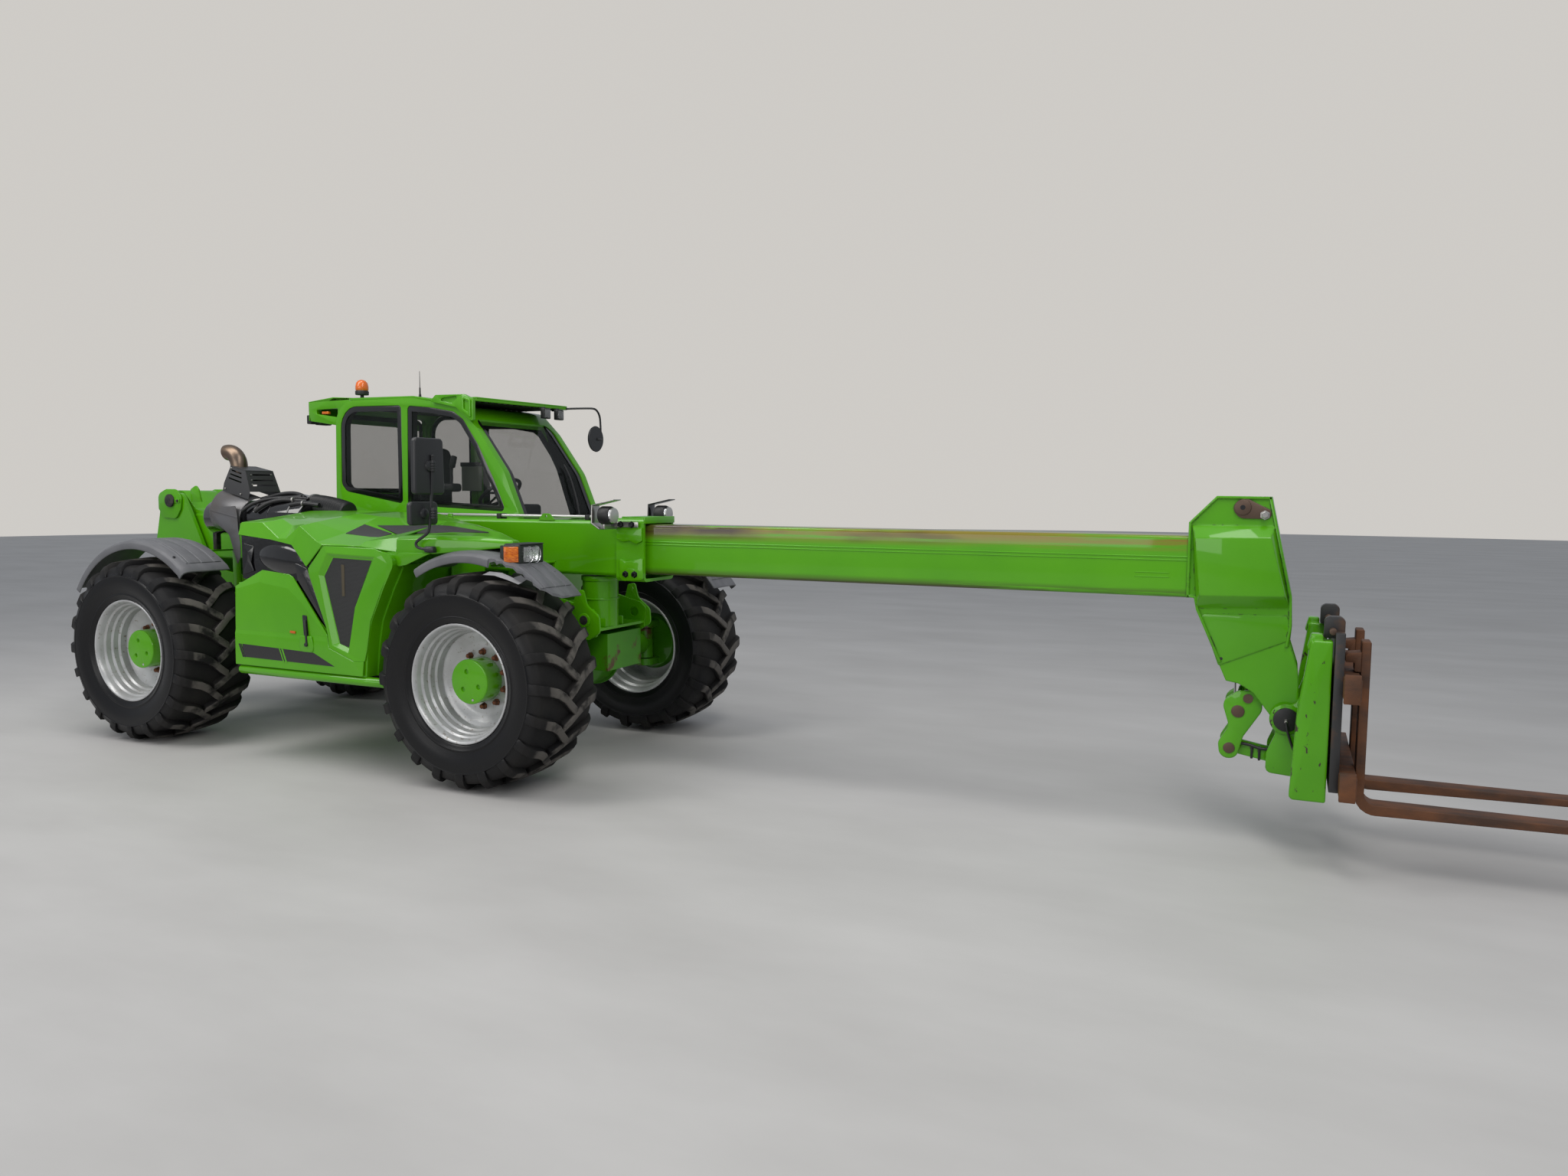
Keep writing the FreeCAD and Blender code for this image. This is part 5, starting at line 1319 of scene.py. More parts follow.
shell = plate("cab_frame", SIDE_OUTLINE, "side", CAB_RIGHT, CAB_LEFT, cab_green, 0)
shell = cut_out(shell, plate("room", ROOM_OUTLINE, "side", CAB_RIGHT + 32, CAB_LEFT - 32, cab_green, 0))
shell = cut_out(shell, box("boom_room", 500, 2500, 100, 305, 700, 1090, cab_green, 0))
SCREEN = [(210, 1290, 40), (1090, 1290, 40), (1090, 2330, 60), (210, 2330, 60)]
BACK_PANE = [(210, 1780, 40), (1090, 1780, 40), (1090, 2400, 60), (210, 2400, 60)]
for rows, plane, low, high in (
    (REAR_SIDE, "side", 100, 250), (FRONT_SIDE, "side", 100, 250), (LEFT_REAR, "side", 1080, 1200),
    (DOOR_HOLE, "side", 1080, 1200), (SCREEN, "front", 1930, 2500), (BACK_PANE, "front", 560, 700),
):
    shell = cut_out(shell, plate("opening", rows, plane, low, high, cab_green, 0))
soften(shell, 0.009, 3, 35)
set_finish(shell, cab_green)
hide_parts("cab_shell")
lining = [
    plate("headliner", [(660, 2452, 10), (1380, 2452, 10), (1800, 2388, 10), (1800, 2376, 4), (1376, 2438, 10),
        (660, 2438, 10)], "side", 186, 1114, trim_black, 1),
    box("floor_mat", 860, 2100, 310, 1110, 794, 802, trim_black, 2),
    box("rear_trim", 660, 690, 190, 1110, 1300, 1770, trim_black, 6),
    box("side_trim", 700, 2200, 184, 196, 1120, 1640, trim_black, 3),
    framed("pillar_trim", shrunk(FRONT_SIDE, -10), "side", 186, 230, 34, trim_black, 3),
    framed("rear_pillar_trim", shrunk(REAR_SIDE, -10), "side", 186, 230, 30, trim_black, 3),
    box("dash", 2060, 2200, 320, 1080, 1180, 1420, trim_black, 20),
]
lining += [
    box("paper_tray", 1040, 1230, 1074, 1112, 1800, 2010, pale_card, 6),
    box("tray_clip", 1030, 1240, 1072, 1113, 2005, 2040, trim_black, 4),
]
inside = welded("cab_lining", *lining)
carried("machine", "green_paint", shell)
carried("machine", "black_plastic", inside)


def screen_band(outer, inner, low, high, made, name):
    """Part of the curved windscreen between two depths behind the frame and two heights."""
    path = [(2298, 1290, 4), (2376, 1634, 60), (2246, 1934, 260), (2004, 2252, 180), (1930, 2330, 4)]
    rows = [(x - outer, z, r) for x, z, r in path] + [(x - inner, z, r) for x, z, r in path[::-1]]
    return plate(name, rows, "side", low, high, made, 0)


panes, borders = [], []
for name, rows in (("rear_pane", REAR_SIDE), ("front_pane", FRONT_SIDE)):
    panes.append(plate(name, shrunk(rows, 3), "side", 156, 161, pane_glass, 0.5))
    borders.append(framed(name + "_border", shrunk(rows, 2), "side", 153, 155.6, 40, seal_black, 0.5))
panes.append(plate("left_pane", shrunk(LEFT_REAR, 3), "side", 1139, 1144, pane_glass, 0.5))
borders.append(framed("left_border", shrunk(LEFT_REAR, 2), "side", 1144.4, 1147, 40, seal_black, 0.5))
panes.append(plate("back_pane", BACK_PANE, "front", 604, 609, pane_glass, 0.5))
borders.append(framed("back_border", BACK_PANE, "front", 600, 603, 36, seal_black, 0.5))
panes.append(screen_band(9, 15, 213, 1087, pane_glass, "screen"))
for low, high in ((213, 256), (1044, 1087)):
    borders.append(screen_band(4, 7.5, low, high, seal_black, "screen_border"))
for name, low, high in (("screen_top", 1200, 2240), ("screen_foot", 1350, 2600)):
    borders.append(cut_out(screen_band(4, 7.5, 213, 1087, seal_black, name),
        box("rest", 1500, 2600, 100, 1200, low, high, seal_black, 0)))
glass = welded("cab_panes", *panes)
glass_edges = welded("pane_borders", *borders)
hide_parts("cab_glass")
carried("machine", "cab_glazing", glass)
carried("machine", "black_plastic", glass_edges)

DOOR_OUTLINE = shrunk(DOOR_HOLE, 7)
door = framed("door_leaf", DOOR_OUTLINE, "side", 1112, 1160, 44, cab_green, 6)
door_parts = [
    door,
    plate("door_base", [(1215, 920, 20), (1215, 1010, 10), (2100, 1010, 10), (2080, 920, 20)], "side", 1116, 1154,
        cab_green, 5),
]
for z in (1050, 2250):
    door_parts += [
        bar("door_hinge", (1170, 1165, z - 18), (1170, 1165, z + 30), 13, cab_green, 2, 32),
        box("hinge_leaf", 1174, 1206, 1156, 1170, z - 18, z + 30, cab_green, 3),
    ]
door_parts += [
    bar("door_handle", (2080, 1178, 1180), (2080, 1178, 1300), 9, black_plastic, 3, 20),
    bar("handle_post", (2080, 1150, 1186), (2080, 1178, 1186), 7, black_plastic, 1, 16),
    bar("handle_post", (2080, 1150, 1294), (2080, 1178, 1294), 7, black_plastic, 1, 16),
]
door_piece = welded("cab_door_leaf", *door_parts)
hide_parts("door_frame")
DOOR_PANE = shrunk(DOOR_OUTLINE, 40)
door_pane = plate("door_pane", DOOR_PANE, "side", 1132, 1137, pane_glass, 0.5)
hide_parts("door_glass")
door_edge = framed("door_pane_border", DOOR_PANE, "side", 1137.4, 1140, 70, seal_black, 0.5)
carried("cab_door", "green_paint", door_piece)
carried("cab_door", "cab_glazing", door_pane)
carried("cab_door", "black_plastic", door_edge)

# The roof's sheet lies on the frame, its forked tail holds an amber light and a black lamp.
TAIL = [(293, 2495, 14), (291, 2430, 10), (310, 2346, 10), (592, 2308, 10), (660, 2420, 10), (799, 2511, 20),
    (560, 2524, 60)]
TAIL_SLOT = [(377, 2434, 12), (606, 2440, 12), (603, 2371, 8), (375, 2402, 10)]
frame_edge = [(1640, 170, 20), (2000, 152, 20), (2100, 1150, 30), (1640, 1150, 20)]
roof_parts = [
    plate("roof_sheet", [(700, 2500, 8), (740, 2516, 20), (1390, 2512, 60), (1700, 2468, 10), (1690, 2452, 4),
        (1388, 2497, 60)], "side", 165, 1135, cab_green, 3),
    *[cut_out(plate("tail", TAIL, "side", low, low + 45, cab_green, 0), plate("slot", TAIL_SLOT, "side", *slot,
        cab_green, 0)) for low, slot in ((170, (150, 240)), (1085, (1060, 1160)))],
    plate("tail_sheet", [(293, 2499, 4), (560, 2528, 40), (799, 2515, 10), (799, 2509, 4), (560, 2521, 40),
        (293, 2492, 4)], "side", 170, 1130, cab_green, 2),
    plate("tail_end", [(291, 2350, 4), (291, 2498, 4), (299, 2498, 4), (299, 2350, 4)], "side", 170, 1130, cab_green,
        2),
    plate("visor_top", frame_edge, "top", 2474, 2486, cab_green, 4),
    framed("visor_rim", frame_edge, "top", 2456, 2474, 20, cab_green, 3),
]
bracket = plate("bracket", [(1589, 2461, 8), (1645, 2508, 16), (1915, 2505, 20), (1998, 2467, 14), (1994, 2308, 10),
    (1956, 2321, 10), (1836, 2413, 30)], "side", 122, 150, cab_green, 0)
roof_parts += [
    cut_out(bracket, plate("notch", [(1683, 2465, 8), (1712, 2484, 8), (1834, 2496, 8), (1856, 2484, 10),
        (1800, 2440, 10)], "side", 100, 138, cab_green, 0)),
    cut_out(plate("bracket_leg", [(1900, 2492, 8), (1982, 2464, 8), (1980, 2330, 8), (1900, 2390, 8)], "side", 110,
        124, cab_green, 0), plate("leg_hole", [(1918, 2470, 8), (1964, 2450, 8), (1960, 2370, 8), (1918, 2400, 8)],
        "side", 100, 130, cab_green, 0)),
]
for piece in roof_parts:
    if piece.name.startswith(("tail", "bracket")):
        soften(piece, 0.003, 2, 35)
roof = welded("roof_sheets", *roof_parts)
set_finish(roof, cab_green)
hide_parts("roof_cover")
slats = [plate("visor_lining", shrunk(frame_edge, 22), "top", 2466, 2472, trim_black, 0)]
for step in range(14):
    y = 215 + 65 * step
    slats.append(box("slat", 1662, 1976 + 0.1 * (y - 152), y - 17, y + 17, 2450, 2462, trim_black, 3))
for x in (1700, 1830, 1960):
    slats.append(box("slat_bar", x - 8, x + 8, 190, 1125, 2460, 2467, trim_black, 1))
slats.append(box("tail_lamp_body", 255, 330, 250, 370, 2322, 2400, trim_black, 12))
slat_piece = welded("visor_guard", *slats)
amber_bar = box("tail_amber", 430, 500, 172, 200, 2398, 2420, amber, 5)
carried("machine", "green_paint", roof)
carried("machine", "black_plastic", slat_piece)
carried("machine", "lamp_plastic", amber_bar)

wiper = [
    tube("wiper_arm", [(2388, 880, 1606), (2345, 895, 1760), (2290, 912, 1880)], 7, trim_black),
    tube("wiper_blade", [(2366, 895, 1690), (2301, 912, 1850), (2262, 920, 1934), (2206, 930, 2010)], 7, trim_black),
    bar("wiper_boss", (2360, 880, 1600), (2392, 880, 1604), 20, trim_black, 3, 24),
]
wipers = welded("screen_wiper", *wiper)
carried("machine", "black_plastic", wipers)

# Seat: padded cushions with cloth covers on a box, with a control arm at the driver's right.
cloth_black = finish("seat_cloth", (0.022, 0.022, 0.024), 0.85, grain=(420, 2, 0.0012, 0.6))


def cushion(name, x0, x1, y0, y1, z0, z1):
    """A stuffed cushion: a box with rounded, bulging faces."""
    piece = box(name, x0, x1, y0, y1, z0, z1, cloth_black, 0)
    with editing(piece):
        bpy.ops.mesh.subdivide(number_cuts=3)
    rounder = piece.modifiers.new("rounder", "SUBSURF")
    rounder.levels = 2
    bpy.ops.object.modifier_apply(modifier="rounder")
    bpy.ops.object.shade_smooth()
    return piece


squab = cushion("seat_squab", 1085, 1555, 425, 895, 1420, 1560)
back_rest = cushion("seat_back", 1000, 1125, 440, 880, 1545, 2145)
pads = welded("seat_pads", squab, back_rest)
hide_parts("seat")
seat_rest = welded("seat_frame", box("seat_box", 1110, 1510, 470, 850, 802, 1430, trim_black, 14),
    box("armrest", 1300, 1700, 222, 338, 1792, 1856, trim_black, 24, 4), box("arm_post", 1260, 1390, 222, 298, 1385,
    1800, trim_black, 10), box("arm_bridge", 1270, 1380, 290, 480, 1382, 1418, trim_black, 5),
    tube("joystick", [(1640, 280, 1850), (1646, 280, 1900), (1640, 280, 1950), (1655, 280, 2010)], 12, trim_black),
    bar("joystick_grip", (1648, 280, 1975), (1672, 280, 2062), 24, trim_black, 9, 24))
carried("machine", "seat_fabric", pads)
carried("machine", "black_plastic", seat_rest)
wheel_way = Vector((-120, 0, 160)).normalized()
wheel_mid = Vector((1800, 650, 1785))
over = wheel_way.cross(Vector((0, 1, 0)))
ring_line = [tuple(wheel_mid + (Vector((0, 1,
    0)) * math.cos(math.radians(15 * step)) + over * math.sin(math.radians(15 * step))) * 172) for step in range(25)]
wheel_ring = tube("wheel_ring", ring_line, 15, trim_black)
console_piece = welded("steering_console", wheel_ring, box("console_box", 1995, 2088, 424, 876, 802, 1560, trim_black,
    20, 3), box("console_top", 1942, 2080, 484, 816, 1550, 1700, trim_black, 30, 4),
    bar("steering_column", tuple(wheel_mid - wheel_way * 300), tuple(wheel_mid - wheel_way * 14), 38, trim_black, 4,
    32), bar("wheel_hub", tuple(wheel_mid - wheel_way * 14), tuple(wheel_mid + wheel_way * 10), 42, trim_black, 4,
    32), *[bar("spoke", tuple(wheel_mid), tuple(wheel_mid + way * 166), 9, trim_black, 1,
    12) for way in (Vector((0, 1, 0)), Vector((0, -1, 0)), Vector((-0.8, 0, -0.6)))])
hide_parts("console")
carried("machine", "black_plastic", console_piece)

# ---------------------------------------------------------------- Boom and its head
# Two folded steel box sections slide in each other, with wear-pad clamps on the collar and a lamp each side. The
# inner one is rubbed brown along its edges and carries a fabricated head with folded side panels.
MID = -70
boom_green = gloss_green("boom_green")


def rubbed_green(name, top, foot):
    """Boom paint worn through to brown steel near two heights, in streaks along the boom."""
    made = gloss_green(name)
    parts = split_place(made)
    high = ramp_down(made, parts, top - 0.100, top - 0.030)
    streaks = noise(made, 22.0, 6.0, (0.05, 0.6, 1.6), 0.7)
    marks = ramp(made, streaks, "Fac", 0.36, 0.52)
    bare = ramp(made, noise(made, 2.2, 3.0, (0.35, 1, 1)), "Fac", 0.50, 0.60)
    lay_over(made, times(made, high, marks), (0.24, 0.19, 0.02))
    lay_over(made, times(made, times(made, high, bare), marks), (0.045, 0.024, 0.012))
    low = ramp_down(made, parts, foot + 0.050, foot)
    lay_over(made, times(made, low, ramp(made, streaks, "Fac", 0.36, 0.50)), (0.050, 0.028, 0.014))
    return made


def ramp_down(made, parts, start, end):
    """Zero at one height and one at the other, in metres."""
    heights = node_in(made, "ShaderNodeMapRange", From_Min=start, From_Max=end)
    wire(made, parts, "Z", heights, "Value")
    return heights


def pin(name, place, low, high, radius, made, edge=2.0, vertices=32):
    """A round bar across the boom, between two distances from its middle."""
    x, z = place
    return bar(name, (x, MID + low, z), (x, MID + high, z), radius, made, edge, vertices)


def plates(name, rows, widths, made, edge=3.0, segments=2):
    """One outline as several upright plates, at distances from the boom's middle."""
    return [plate(name, rows, "side", MID + low, MID + high, made, edge, segments) for low, high in widths]


def section(name, half, low, high, wall, first, last, made, bend=24):
    """A hollow box section along x with rounded corners."""
    rows = [(MID - half, low, bend), (MID + half, low, bend), (MID + half, high, bend), (MID - half, high, bend)]
    skin = plate(name, rows, "front", first, last, made, 0)
    return cut_out(skin, plate("room", shrunk(rows, wall), "front", first - 50, last + 50, made, 0))


inner_green = rubbed_green("inner_boom_paint", 1.590, 1.268)
outer_skin = section("outer_skin", 160, 1250, 1610, 14, -560, 3480, boom_green)
heel = plate("heel", [(-560, 1250, 10), (-340, 1250, 4), (-340, 1610, 4), (-560, 1640, 60), (-700, 1790, 60),
    (-800, 1790, 70), (-840, 1700, 70), (-700, 1400, 60)], "side", MID - 150, MID + 150, boom_green, 0)
heel = cut_out(heel, bar("pin_hole", (-752, MID - 200, 1706), (-752, MID + 200, 1706), 46, boom_green, 0, 48))
heel = cut_out(heel, box("heel_room", -900, -300, MID - 120, MID + 120, 1000, 1560, boom_green, 0))
soften(heel, 0.004, 2, 35)
outer_parts = [outer_skin, heel]
for low, high in ((-110, -85), (85, 110)):
    lug = plate("lift_lug", [(1380, 1262, 6), (1620, 1262, 6), (1570, 1100, 30), (1500, 1078, 50), (1430, 1100, 30)],
        "side", MID + low, MID + high, boom_green, 0)
    outer_parts.append(cut_out(lug, pin("eye", (1500, 1130), -200, 200, 36, boom_green, 0, 48)))
hose_lug = plate("hose_lug", [(2840, 1606, 4), (2880, 1652, 14), (2930, 1652, 14), (2975, 1606, 4)], "side",
    MID - 158, MID - 146, boom_green, 0)
outer_parts.append(cut_out(hose_lug, pin("hole", (2905, 1632), -200, -100, 9, boom_green, 0, 24)))
outer_piece = welded("outer_boom_skin", *outer_parts)
set_finish(outer_piece, boom_green)
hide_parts("outer_boom")
carried("outer_boom", "green_paint", outer_piece)

collar_skin = section("collar_skin", 185, 1221, 1630, 20, 3480, 3690, boom_green, 34)
collar_parts = [collar_skin,
    box("end_ring", 3688, 3700, MID - 185, MID + 185, 1596, 1640, boom_green, 4),
    box("top_fold", 3500, 3690, MID - 150, MID + 150, 1626, 1640, boom_green, 5)]
for side in SIDES:
    face = MID + side * 185
    low, high = sorted((face, face + side * 14))
    collar_parts += [
        plate("upper_pad", [(3492, 1572, 6), (3492, 1496, 12), (3540, 1478, 14), (3590, 1486, 16), (3640, 1466, 12),
            (3684, 1486, 10), (3684, 1572, 6)], "side", low, high, boom_green, 3),
        plate("lower_pad", [(3512, 1372, 10), (3560, 1352, 14), (3610, 1360, 14), (3690, 1376, 10), (3690, 1236, 20),
            (3540, 1226, 20), (3512, 1250, 10)], "side", low, high, boom_green, 3),
    ]
    for x, z in ((3560, 1270), (3628, 1270)):
        collar_parts.append(bolt("pad_bolt", (x, face + side * 14, z), (0, side, 0), 17, black_gloss))
    collar_parts.append(plate("clamp_plate", [(3484, 1572, 4), (3484, 1608, 6), (3660, 1608, 6), (3660, 1572, 4)],
        "side", *sorted((face + side * 14, face + side * 20)), clamp_steel, 1.5))
    for x in (3530, 3612):
        collar_parts.append(bolt("clamp_bolt", (x, face + side * 20, 1590), (0, side, 0), 17, black_gloss))
collar_piece = welded("collar_clamps", *collar_parts)
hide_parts("boom_collar")
carried("outer_boom", "green_paint", collar_piece)

pipe_pale = finish("pipe_plating", (0.52, 0.52, 0.50), 0.35, metal=0.6)
lamp_parts = []
for side in SIDES:
    y = MID + side * 335
    guard_made = clamp_steel if side < 0 else black_gloss
    lamp_parts += [
        bar("boom_lamp", (3470, y, 1650), (3556, y, 1650), 58, black_plastic, 14, 40),
        bar("lamp_glass", (3548, y, 1650), (3566, y, 1650), 50, mirror_bowl, 6, 40),
        bar("lamp_cover", (3560, y, 1650), (3572, y, 1650), 48, pipe_pale, 5, 40),
        plate("lamp_hood", [(3422, 1716), (3590, 1752), (3592, 1746), (3428, 1709)], "side", y - 42, y + 42,
            guard_made, 1.5),
        plate("lamp_hood", [(3422, 1717), (3429, 1714), (3426, 1602), (3484, 1566), (3480, 1559), (3417, 1598)],
            "side", y - 42, y + 42, guard_made, 1.5),
        box("lamp_arm", 3480, 3500, *sorted((MID + side * 186, y + side * 10)), 1560, 1606, guard_made, 4),
    ]
lamp_piece = welded("boom_lamp_pair", *lamp_parts)
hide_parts("boom_lamps")
carried("outer_boom", "lamp_plastic", lamp_piece)
pipes = welded("boom_hose_pipe", bar("pipe", (1770, MID - 90, 1632), (3300, MID - 90, 1632), 11, pipe_pale, 1, 24),
    bar("pipe", (1770, MID - 50, 1630), (3300, MID - 50, 1630), 9, pipe_pale, 1, 24),
    *[box("pipe_clamp", x - 16, x + 16, MID - 112, MID - 34, 1610, 1646, black_plastic, 5)
    for x in (1850, 2465, 3200)])
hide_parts("boom_pipe")
carried("outer_boom", "bright_steel", pipes)

inner_parts = [section("inner_skin", 125, 1268, 1590, 12, 3000, 6965, inner_green, 20)]
for side in SIDES:
    for z in (1462, 1480):
        inner_parts.append(bar("fold", (3020, MID + side * 124, z), (6960, MID + side * 124, z), 4.5, inner_green, 0,
            12))
    for z in (1395, 1372):
        inner_parts.append(bar("emboss", (6700, MID + side * 124.5, z), (6870, MID + side * 124.5, z), 3, inner_green,
            0, 10))
inner_piece = welded("inner_boom_skin", *inner_parts)
smooth(inner_piece, 35)
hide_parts("inner_boom")
carried("inner_boom", "green_paint", inner_piece)

head_green = gloss_green("head_green", edge=0.012, chips=(0.030, 0.022, 0.016))
pin_brown = finish("worn_pin", (0.115, 0.075, 0.055), 0.45, metal=0.6, grain=(160, 4, 0.0006, 0.5))
HEAD = [(6960, 1270, 10), (6960, 1660, 24), (7090, 1797, 20), (7347, 1795, 14), (7378, 1653, 60), (7458, 1293, 60),
    (7464, 1150, 40), (7458, 1060, 30), (7500, 930, 40), (7520, 680, 60), (7457, 620, 60), (7380, 690, 20),
    (7350, 730, 30), (7300, 796, 50), (7230, 838, 40), (7167, 849, 8), (7010, 1210, 60), (6998, 1270, 10)]
head_parts = plates("cheek", HEAD, ((-130, -110), (110, 130)), head_green, 0)
BACK = [(6960, 1270), (6960, 1660), (7090, 1797), (7347, 1795)]
FRONT = [(7347, 1795), (7378, 1653), (7458, 1293), (7464, 1150), (7450, 1040)]
FOOT = [(7130, 940), (7010, 1210), (6998, 1270), (6964, 1272)]


def strip(name, path, inwards, low, high, made):
    """A folded strip along a path in the side view, with its thickness to one side."""
    shifted = []
    for index, (x, z) in enumerate(path):
        before = Vector(path[max(index - 1, 0)])
        after = Vector(path[min(index + 1, len(path) - 1)])
        way = (after - before).normalized()
        shifted.append((x + way.y * inwards, z - way.x * inwards))
    return plate(name, path + shifted[::-1], "side", low, high, made, 2)


head_parts += [strip("strip", path, 14, MID - 142, MID + 142, head_green) for path in (BACK, FRONT, FOOT)]
for side in SIDES:
    near, far = MID + side * 128, MID + side * 200
    panel = facets("side_panel", {"a": (6975, near, 1650), "b": (7368, near, 1652), "c": (7452, near, 1235),
        "d": (7008, near, 1215), "e": (6997, far, 1582), "f": (7352, far, 1591), "g": (7428, far, 1300),
        "h": (7028, far, 1288)}, ["a b f e", "b c g f", "c d h g", "d a e h", "e f g h"] if side < 0 else ["b a e f",
        "c b f g", "d c g h", "a d h e", "h g f e"], head_green, 8, 5, 10)
    head_parts += [
        panel,
        plate("lower_cover", [(7128, 925, 6), (7440, 1068, 6), (7446, 1080, 6), (7455, 1140, 6), (7440, 1200, 10),
            (7030, 1190, 20)], "side", *sorted((MID + side * 129, MID + side * 134)), head_green, 2),
        # A black disc on the cover stands for its hole: painted shade inside the hole.
        pin("cover_hole_painted_shade", (7140, 962), side * 133, side * 135, 8, black_gloss, 0, 20),
        plate("keeper", [(7158, 1740, 40), (7214, 1796, 50), (7345, 1726, 24), (7352, 1682, 24), (7200, 1684, 48)],
            "side", *sorted((MID + side * 130, MID + side * 140)), pin_brown, 2),
        pin("pin_end", (7214, 1740), side * 138, side * 150, 40, pin_brown, 4, 40),
        # A black disc on the pin's end stands for its bore: painted shade inside the bore.
        pin("pin_bore_painted_shade", (7214, 1740), side * 149, side * 152, 12, black_gloss, 0, 24),
        bolt("keeper_bolt", (7318, MID + side * 140, 1702), (0, side, 0), 18, clamp_steel),
    ]
head_piece = welded("head_panels", *head_parts)
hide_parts("boom_head")
carried("inner_boom", "green_paint", head_piece)
dress(pin_brown, "head_pins")
dress(boom_green, "lift_barrel", "tilt_barrel")
dress(finish("piston_chrome", (0.62, 0.62, 0.62), 0.12, metal=1.0), "lift_rod", "tilt_rod")

# ---------------------------------------------------------------- Rocker, link, carriage and forks
# Thick painted plates turn on brown steel pins and hold a carriage of two folded green columns in front of a dark
# back plate. Two hot-rolled rails carry two forged forks, all scraped and rusty.
LINK_REAR, LINK_FRONT, CARRIAGE_PIVOT = (7194, 495), (7418, 455), (7457, 680)
ROCKER = [(7340, 800, 60), (7230, 800, 70), (7150, 740, 60), (7190, 610, 60), (7140, 520, 45), (7150, 440, 45),
    (7230, 440, 45), (7260, 560, 60), (7345, 700, 60)]
rocker_parts = plates("rocker_plate", ROCKER, ((-105, -83), (83, 105)), head_green)
for side in SIDES:
    for x, z, radius in ((7230, 690, 32), (7194, 495, 28)):
        rocker_parts.append(pin("rocker_pin", (x, z), side * 104, side * 109, radius, pin_brown, 2, 36))
for x, z, radius in ((7230, 690, 18), (7194, 495, 22)):
    rocker_parts.append(pin("cross_pin", (x, z), -84, 84, radius, pin_brown, 0, 32))
rocker_piece = welded("rocker_plates", *rocker_parts)
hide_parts("rocker")
carried("rocker", "green_paint", rocker_piece)
link_parts = []
for low, high in ((-55, -33), (33, 55)):
    link_parts += [
        pin("link_eye", LINK_REAR, low, high, 40, head_green, 2, 36),
        pin("link_eye", LINK_FRONT, low, high, 42, head_green, 2, 36),
        plate("link_bar", [(7194, 465, 4), (7418, 425, 4), (7418, 485, 4), (7194, 525, 4)], "side", MID + low,
            MID + high, head_green, 2),
    ]
for share in (0.46, 0.62):
    x, z = 7194 + 224 * share, 495 - 40 * share
    link_parts.append(box("hose_tie", x, x + 12, MID - 60, MID - 50, z - 38, z + 38, hose_black, 3))
link_parts.append(tube("link_hose", [(7215, MID - 66, 520), (7290, MID - 66, 516), (7350, MID - 66, 492),
    (7400, MID - 62, 500)], 8, hose_black))
link_piece = welded("link_bars", *link_parts)
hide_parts("link")
carried("link", "green_paint", link_piece)

worn_column = gloss_green("column_green", edge=0.014, chips=(0.045, 0.028, 0.018))
lay_over(worn_column, ramp(worn_column, noise(worn_column, 19.0, 7.0, (1.6, 1, 0.8)), "Fac", 0.625, 0.640),
    (0.040, 0.026, 0.018))
plate_dark = finish("plate_coating", (0.035, 0.034, 0.034), 0.42, metal=0.2, grain=(180, 5, 0.0008, 0.5),
    tone=(7, 8, 0.52, 0.66, (0.032, 0.032, 0.033), (0.085, 0.045, 0.026)))
rust = finish("fork_rust", (0.13, 0.05, 0.022), 0.62, metal=0.25, grain=(140, 6, 0.0015, 0.7),
    tone=(8, 9, 0.35, 0.68, (0.060, 0.030, 0.018), (0.185, 0.068, 0.024), (0.5, 1, 1)))
carriage_parts = []
EAR = [(7371, 400, 30), (7371, 500, 60), (7410, 600, 60), (7400, 740, 60), (7500, 760, 40), (7585, 1010, 20),
    (7640, 1010, 4), (7640, 380, 4)]
for low, high in ((-165, -140), (140, 165)):
    ear_plate = plate("carriage_ear", EAR, "side", MID + low, MID + high, worn_column, 0)
    ear_plate = cut_out(ear_plate, pin("ear_bore", CARRIAGE_PIVOT, low - 9, high + 9, 34, worn_column, 0, 40))
    soften(ear_plate, 0.003, 2, 35)
    set_finish(ear_plate, worn_column)
    carriage_parts.append(ear_plate)
carriage_parts += plates("lower_ear", [(7386, 400, 26), (7386, 480, 40), (7470, 520, 40), (7640, 560, 4),
    (7640, 380, 4)], ((-78, -60), (60, 78)), worn_column)
for side in SIDES:
    face = MID + side * 165
    carriage_parts += [
        bar("ear_ring", (7457, face, 680), (7457, face + side * 10, 680), 78, worn_column, 4, 48),
        bar("pivot_cap", (7457, face + side * 9, 680), (7457, face + side * 24, 680), 60, hose_black, 5, 48),
        bar("grease_fitting", (7457, face + side * 22, 680), (7457, face + side * 44, 672), 8, clamp_steel, 1, 16),
        tube("grease_hose", [(7457, face + side * 40, 672), (7462, face + side * 44, 640),
            (7480, face + side * 36, 580), (7500, face + side * 12, 520), (7520, face, 500)], 7, hose_black),
        pin("link_pin", LINK_FRONT, side * 77, side * 81, 30, pin_brown, 1, 36),
    ]
carriage_parts.append(pin("link_pin", LINK_FRONT, -61, 61, 20, pin_brown, 0, 32))
COLUMN = [(7548, 1120, 16), (7640, 1120, 8), (7640, 345, 10), (7480, 345, 22), (7500, 760, 200)]
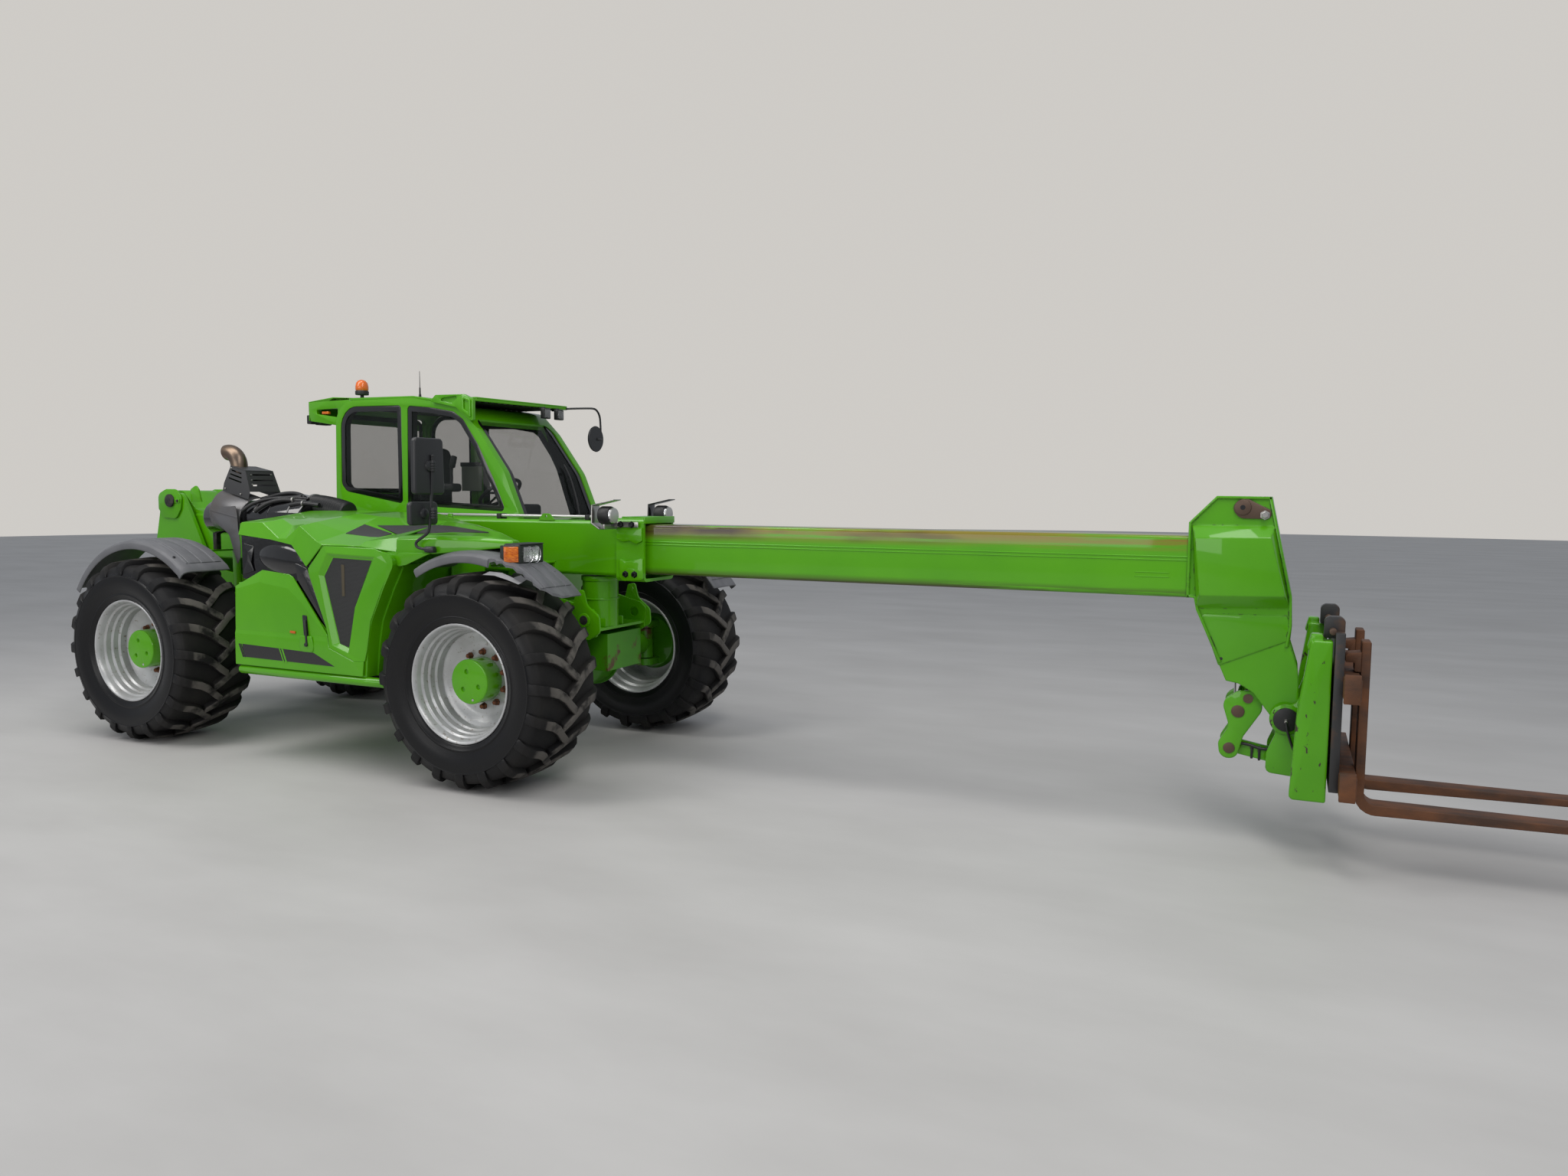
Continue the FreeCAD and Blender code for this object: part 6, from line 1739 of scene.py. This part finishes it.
for low, high in ((-450, -350), (350, 450)):
    carriage_parts += [
        plate("column", COLUMN, "side", MID + low, MID + high, worn_column, 10, 3),
        plate("column_top", [(7528, 1070, 16), (7548, 1150, 10), (7600, 1150, 10), (7600, 1070, 10)], "side",
            MID + low + 14, MID + high - 14, worn_column, 6),
    ]
carriage_parts.append(box("cross_plate", 7622, 7642, MID - 350, MID + 350, 380, 1000, worn_column, 3))
carriage_piece = welded("carriage_frame", *carriage_parts)
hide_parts("carriage_coupler")
carried("carriage", "green_paint", carriage_piece)
carrier_parts = [box("back_plate", 7650, 7692, MID - 450, MID + 450, 400, 1160, plate_dark, 4)]
for low, high in ((860, 960), (400, 500)):
    carrier_parts += [
        box("fork_rail", 7690, 7764, MID - 552, MID + 560, low, high, rust, 5),
        box("rail_stop", 7690, 7760, MID - 560, MID - 530, low - 14, high + 22, rust, 4),
    ]
for side in SIDES:
    y = MID + side * 330
    carrier_parts += [
        plate("hook_lug", [(7602, 1125, 6), (7602, 1215, 24), (7624, 1229, 20), (7672, 1229, 20), (7692, 1212, 20),
            (7692, 1125, 6)], "side", y - 30, y + 30, plate_dark, 3),
        bar("hook_pin", (7640, y - 70, 1160), (7640, y + 70, 1160), 17, pin_brown, 3, 24),
    ]
carrier_piece = welded("carrier_plate", *carrier_parts)
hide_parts("fork_carrier")
carried("carriage", "black_metal", carrier_piece)
FORK_GAP = 520
for name, side in (("fork_left", 1), ("fork_right", -1)):
    y = MID + side * FORK_GAP / 2
    fork = plate(name + "_bar", [(7768, 1112, 8), (7808, 1112, 8), (7808, 330, 50), (9000, 330, 30), (9028, 310, 6),
        (9028, 302, 4), (7768, 277, 90)], "side", y - 63, y + 63, rust, 5, 3)
    hook = plate(name + "_hook", [(7700, 1010, 8), (7700, 1050, 20), (7772, 1060, 6), (7772, 965, 4), (7740, 965, 10),
        (7740, 1010, 8)], "side", y - 58, y + 58, rust, 4)
    forged = welded(name + "_forged", fork, hook)
    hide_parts(name)
    carried("carriage", "rusty_steel", forged)
